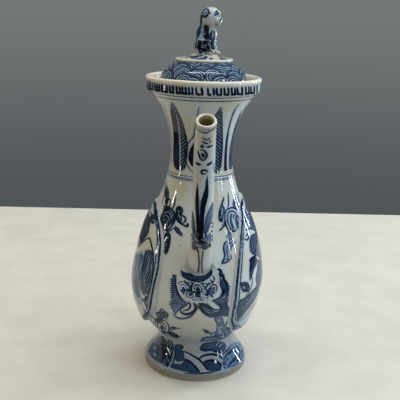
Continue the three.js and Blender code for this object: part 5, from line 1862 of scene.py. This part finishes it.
def makePlaque(name, points, count, middle, rings):
    # a flat plaque with even rings, and how far each of its corners lies from the edge
    outline = evenRing(points, count)
    plaque = drawRings(name, outline, middle, rings)
    return plaque, distanceTo(corners(plaque)[:, :2], np.vstack([outline, outline[:1]]))


def raisePlaque(plaque, height):
    places = corners(plaque)
    places[:, 2] = height - reliefSetup["sunk"]
    setCorners(plaque, places)


for name, side in (("side_panel_left", -90), ("side_panel_right", 90)):
    panel, inset = makePlaque(name + "_relief", panelOutline(side), panelForm["around"], panelForm["middle"],
                              panelForm["rings"])
    raisePlaque(panel, panelRelief(side, corners(panel)[:, 1]) * roundedEdge(inset, panelForm["edge"]))
    paintOn(panel, flat, lambda painting: paintPanel(painting, side))
    wrapOnWall(panel, side + panelForm["turn"], reliefSetup["thickness"])
    finishPiece(panel, cobalt, "ewer", [name])


collarForm = {
    "outer": [(-11.6, 102.0), (-15.6, 94.5), (-16.8, 86), (-12.6, 76.8), (-1.0, 72.0), (10.4, 76.4),
              (14.6, 86), (13.4, 94.5), (10.4, 102.0)],
    "inner": [(-11.2, 102.2), (-9.8, 97.5), (-6.0, 94.0), (-1.0, 92.8), (4.2, 93.8), (8.2, 97.5),
              (10.0, 102.2)],
    "relief": 2.4,
    "edge": 1.6,         # mm over which the crescent rounds off, and its bead and curls
    "detailEdge": 1.0,
    "scallops": (21, 0.5),
    "bead": (0.55, 1.1, 0.7),      # height, mm from the edge, half its width
    "curl": (0.75, 0.75),
    "grid": (260, 84),
}


def makeCollar():
    form = collarForm
    deselectAll()
    long, wide = form["grid"]
    bpy.ops.mesh.primitive_grid_add(x_subdivisions=long, y_subdivisions=wide, size=2 * mm)
    obj = settle(bpy.context.object, "spout_root_collar_relief")
    p = corners(obj)
    t, s = (p[:, 0] + 1) / 2, (p[:, 1] + 1) / 2
    lines = []
    for points in (form["inner"], form["outer"]):
        line = softCurve(points, 0.4)
        along = lengths(line)
        lines.append(pointsAt(t * along[-1], along, line))
    inner, outer = lines
    width = np.hypot(*(outer - inner).T)
    count, swing = form["scallops"]
    wave = swing * np.abs(np.sin(t * math.pi * count)) * s ** 6
    out = (outer - inner) / np.maximum(width, 0.1)[:, None]
    flatPlaces = inner * (1 - s)[:, None] + outer * s[:, None] + out * wave[:, None]
    edgeAway = (1 - s) * width
    eitherEdge = np.minimum(s, 1 - s) * width
    ridgeAway = np.min([distanceTo(flatPlaces, line) for line in curlLines()], axis=0)
    high, middle, half = form["bead"]
    bead = high * np.exp(-((edgeAway - middle) / half) ** 2)
    high, half = form["curl"]
    curls = high * np.exp(-(ridgeAway / half) ** 2) * np.clip((edgeAway - 2.2) / 0.8, 0, 1)
    curls *= np.clip((91 - flatPlaces[:, 1]) / 3, 0, 1)
    height = form["relief"] * roundedEdge(eitherEdge, form["edge"])
    height += (bead + curls) * roundedEdge(eitherEdge, form["detailEdge"])
    return obj, flatPlaces, height - reliefSetup["sunk"], ridgeAway, edgeAway


collar, flatPlaces, height, ridgeAway, edgeAway = makeCollar()
paintOn(collar, lambda p: flat(flatPlaces), paintCollar)
setCorners(collar, np.column_stack([flatPlaces, height]))
wrapOnWall(collar, 0, reliefSetup["thickness"])
finishPiece(collar, cobalt, "ewer", ["spout_root_collar"])

padForm = {
    "upper": [(0, 214), (8, 210), (10.5, 203), (7, 196), (0, 192), (-7, 196), (-10.5, 203), (-8, 210)],
    "lower": [(0, 110), (9, 105), (12, 97), (8, 88), (0, 80), (-8, 88), (-12, 97), (-9, 105)],
    "relief": 2.2,
    "line": (2.2, 0.7),  # its blue line's place in from the edge, and half its width
    "edge": 2.6,
    "around": 160,
    "rings": 20,
}


def paintPad(painting):
    place, half = padForm["line"]
    painting["inkDark"] = np.abs(inset - place) - half


for key, middle in (("upper", (0, 203)), ("lower", (0, 96))):
    name = "handle_" + key + "_terminal"
    pad, inset = makePlaque(name + "_pad", padForm[key], padForm["around"], middle, padForm["rings"])
    raisePlaque(pad, padForm["relief"] * roundedEdge(inset, padForm["edge"]))
    paintOn(pad, flat, paintPad)
    wrapOnWall(pad, 180, reliefSetup["padThickness"])
    finishPiece(pad, cobalt, "ewer", [name])
print("applied reliefs ready")

outline = [*softCurve(coverForm["inside"], 2.5), *coverForm["base"], *softCurve(coverForm["outline"], 0.45),
           *coverForm["top"]]
dome = spinOutline("cover_dome_shell", outline, coverForm["columns"])
paintOn(dome, domePaper, paintDome, lambda p: (p[:, 2] < 230.2)
        | (outward(p) < np.interp(p[:, 2], coverOutline[:, 1], coverOutline[:, 0]) - 1.0))
finishPiece(dome, cobalt, "cover", ["cover_dome"])

flangeForm = {
    "outline": [(25.8, 222.0), (27.6, 222.0), (28.2, 222.4), (28.4, 223.2), (28.4, 229.5), (25.8, 229.5)],
    "columns": 160,
}
flange = spinOutline("cover_flange_ring", closedRing(flangeForm["outline"]), flangeForm["columns"])
finishPiece(flange, biscuit, "cover", ["cover_flange"])

edgeForm = {
    "outline": [(18.5, 247.7), (21.3, 247.7), (21.75, 248.1), (21.85, 248.8), (21.6, 249.4), (20.9, 249.72),
                (18.5, 249.65)],
    "columns": 240,
}
edgeRing = spinOutline("cover_edge_bead", closedRing(edgeForm["outline"]), edgeForm["columns"])
finishPiece(edgeRing, white, "cover", ["cover_edge_ring"], 70)

capForm = {
    "below": [(0, 248.2), (18.5, 248.2), (18.5, 249.6)],
    "slope": [(18.5, 249.6), (16.5, 249.75), (13.6, 250.2), (10.6, 251.2), (9.8, 252.2), (9.0, 252.75)],
    "top": [(6, 252.8), (3, 252.8), (0, 252.8)],
    "spacing": 0.5,
    "columns": 240,
}
outline = [*capForm["below"], *softCurve(capForm["slope"], capForm["spacing"]), *capForm["top"]]
cap = spinOutline("cover_cap_boss", outline, capForm["columns"])
paintOn(cap, around, paintCap)
finishPiece(cap, cobalt, "cover", ["cover_cap"])
print("cover ready")


# Guardian lion, built of rounded masses in mm: centre, half sizes, lean about Y
lionForm = {
    "body": [((0.4, 1.0, 263.0), (7.2, 5.8, 10.5), 2), ((3.6, -1.8, 267.5), (5.4, 4.6, 6.0), 0)],
    "head": [((3.6, -3.0, 280.1), (7.7, 6.6, 7.0), 0), ((8.8, -5.0, 277.0), (3.4, 4.0, 3.2), 20),
             ((11.2, -5.6, 278.6), (1.2, 1.6, 0.9), 0), ((8.6, -5.4, 282.5), (2.6, 2.4, 2.2), -20)],
    "mane": [((1.2, 2.2, 277.0), (5.5, 5.6, 8.0), 6), ((-2.6, 0.8, 268.0), (4.1, 5.6, 6.0), 6)],
    "legs": [((-3.6, -4.6, 259.8), (3.0, 3.0, 7.6), -2), ((-2.8, -6.6, 254.3), (3.0, 3.2, 1.7), 0),
             ((5.0, -4.4, 260.0), (3.4, 3.0, 7.8), 3), ((4.0, -6.6, 254.3), (3.0, 3.2, 1.7), 0)],
    "haunches": [((-4.8, 2.2, 257.8), (3.0, 4.8, 4.9), 0), ((6.4, 2.2, 258.0), (3.2, 4.8, 5.0), 0),
                 ((9.6, -1.2, 254.2), (2.6, 2.6, 1.4), 12)],
    "tail": [((0.8, 7.4, 260.6), (2.3, 2.1, 6.3), 0), ((0.8, 8.0, 266.4), (2.7, 2.3, 3.3), 0)],
    "ears": [((0.6, -8.0, 283.0), (2.9, 1.6, 2.9), -20), ((7.0, 2.5, 284.5), (2.0, 1.6, 2.4), 0)],
}
lionVoxel = 0.34         # mm between the corners of the modelled surface


def makeLion():
    parts = []
    for masses in lionForm.values():
        for centre, halves, lean in masses:
            deselectAll()
            bpy.ops.mesh.primitive_uv_sphere_add(segments=32, ring_count=20, radius=mm,
                                                 location=[c * mm for c in centre],
                                                 rotation=(0, math.radians(lean), 0), scale=halves)
            parts.append(bpy.context.object)
    deselectAll()
    for part in parts:
        part.select_set(True)
    bpy.context.view_layer.objects.active = parts[0]
    bpy.ops.object.join()
    lion = settle(bpy.context.object, "guardian_lion")
    applyModifier(lion, "REMESH", mode="VOXEL", voxel_size=lionVoxel * mm)
    applyModifier(lion, "SMOOTH", factor=0.6, iterations=5)
    return lion


lion = makeLion()
paintOn(lion, lambda p: flat(p[:, [0, 2]]), paintLion)
finishPiece(lion, cobalt, "cover", [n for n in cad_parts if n.startswith("lion_")])
print("lion ready")


def makeCamera():
    eye, axes = cameraPlace()[:2]
    data = bpy.data.cameras.new("photo_camera")
    camera = bpy.data.objects.new("photo_camera", data)
    bpy.context.scene.collection.objects.link(camera)
    data.sensor_width = cameraSetup["sensor"]
    data.lens = cameraSetup["focal"]
    data.clip_start, data.clip_end = 0.01, 20
    camera.location = eye * mm
    camera.rotation_euler = axes.to_euler()
    bpy.context.scene.camera = camera


def makeStage():
    deselectAll()
    front, rear = stageSetup["floorFront"], stageSetup["floorRear"]
    bpy.ops.mesh.primitive_plane_add(size=1, location=(0, (front + rear) / 2, 0))
    floor = bpy.context.object
    floor.scale = (stageSetup["floorWide"], rear - front, 1)
    settle(floor, "floor")
    material = bpy.data.materials.new("pale_floor")
    material.use_nodes = True
    tree = material.node_tree
    shader = tree.nodes["Principled BSDF"]
    shader.inputs["Roughness"].default_value = 0.8
    place = addNode(tree, "ShaderNodeTexCoord").outputs["Object"]
    fibre = ranged(tree, noise(tree, place, 25.0, 3.0), 0.2, 0.8)
    cloth = mixColours(tree, fibre, stageSetup["floorShade"], stageSetup["floorColour"])
    tree.links.new(cloth, shader.inputs["Base Color"])
    floor.data.materials.append(material)


def makeWorld():
    # soft light from above and from the window side; cameras and mirrors see a plain grey backdrop behind it
    world = bpy.data.worlds.new("studio_air")
    bpy.context.scene.world = world
    world.use_nodes = True
    tree = world.node_tree
    air = tree.nodes["Background"]
    form = stageSetup
    way = addNode(tree, "ShaderNodeTexCoord").outputs["Generated"]
    parts = addNode(tree, "ShaderNodeSeparateXYZ", links={"Vector": way}).outputs
    fromRight = ranged(tree, parts["X"], *form["skyAcross"])
    above = ranged(tree, parts["Z"], *form["skyUp"])
    strength = times(tree, scaled(tree, fromRight, form["skyRight"], form["skyLeft"]),
                     scaled(tree, above, *form["skyOverhead"]), ranged(tree, parts["Z"], *form["skyFrom"]))
    tint = mixColours(tree, fromRight, form["warmAir"], form["coolAir"])
    tree.links.new(tint, air.inputs["Color"])
    tree.links.new(strength, air.inputs["Strength"])
    rising = ranged(tree, parts["Z"], *form["backdropRise"])
    wall = mixColours(tree, rising, form["backdropLow"], form["backdropHigh"])
    backdrop = addNode(tree, "ShaderNodeBackground", {"Strength": 1.0}, {"Color": wall})
    path = addNode(tree, "ShaderNodeLightPath")
    seen = maths(tree, "MAXIMUM", path.outputs["Is Camera Ray"], path.outputs["Is Transmission Ray"])
    seen = maths(tree, "MAXIMUM", seen, path.outputs["Is Glossy Ray"])
    both = addNode(tree, "ShaderNodeMixShader", links={0: seen, 1: air.outputs[0], 2: backdrop.outputs[0]})
    tree.links.new(both.outputs[0], tree.nodes["World Output"].inputs["Surface"])


# Strips of light: the azimuth and elevation of both ends in degrees, width in metres, power and colour
lightForm = {
    "away": 1.2,
    "middle": (0, 0, 0.14),
    "strips": {
        "gleam_shoulder": ((-81, 14), (-86, 19), 0.018, 0.9, "#fff1da"),
        "gleam_side": ((-84, -2), (-70, 12), 0.016, 1.3, "#fff1da"),
        "gleam_small": ((-40, 20), (-40, 25), 0.012, 0.06, "#fff1da"),
        "window_near": ((60, 3), (60, 21), 0.02, 1.2, "#e4efff"),
        "window_next": ((72, 0), (72, 17), 0.02, 1.1, "#e4efff"),
        "window_rear": ((114, 0), (114, 14), 0.035, 2.1, "#dcebff"),
        "window_last": ((125, 0), (125, 14), 0.035, 2.1, "#dcebff"),
        "window_low": ((140, 1), (150, 3), 0.05, 0.6, "#dcebff"),
        "window_top": ((54, 34), (60, 36), 0.07, 0.7, "#eef4ff"),
        "ceiling_left": ((-95, 66), (0, 88), 0.05, 2.2, "#fffdf8"),
        "ceiling_right": ((0, 88), (97, 58), 0.05, 2.9, "#fffdf8"),
    },
}


def lampPlace(azimuth, elevation):
    azimuth, elevation = math.radians(azimuth), math.radians(elevation)
    level = math.cos(elevation)
    way = Vector((math.sin(azimuth) * level, -math.cos(azimuth) * level, math.sin(elevation)))
    return Vector(lightForm["middle"]) + way * lightForm["away"]


def makeStrip(name, start, end, width, power, colour):
    # a strip lamp between two directions, facing the ewer
    start, end = lampPlace(*start), lampPlace(*end)
    data = bpy.data.lights.new(name, "AREA")
    data.shape = "RECTANGLE"
    data.size, data.size_y = (end - start).length, width
    data.energy = power
    data.color = linear(colour)[:3]
    lamp = bpy.data.objects.new(name, data)
    bpy.context.scene.collection.objects.link(lamp)
    lamp.location = (start + end) / 2
    along = (end - start).normalized()
    back = lamp.location - Vector(lightForm["middle"])
    back = (back - along * back.dot(along)).normalized()
    lamp.rotation_euler = Matrix((along, back.cross(along), back)).transposed().to_euler()


def makeLight():
    bpy.context.scene.view_settings.view_transform = "Standard"
    for name, strip in lightForm["strips"].items():
        makeStrip(name, *strip)


makeCamera()
makeStage()
makeWorld()
makeLight()
print("stage, camera and lamps ready")
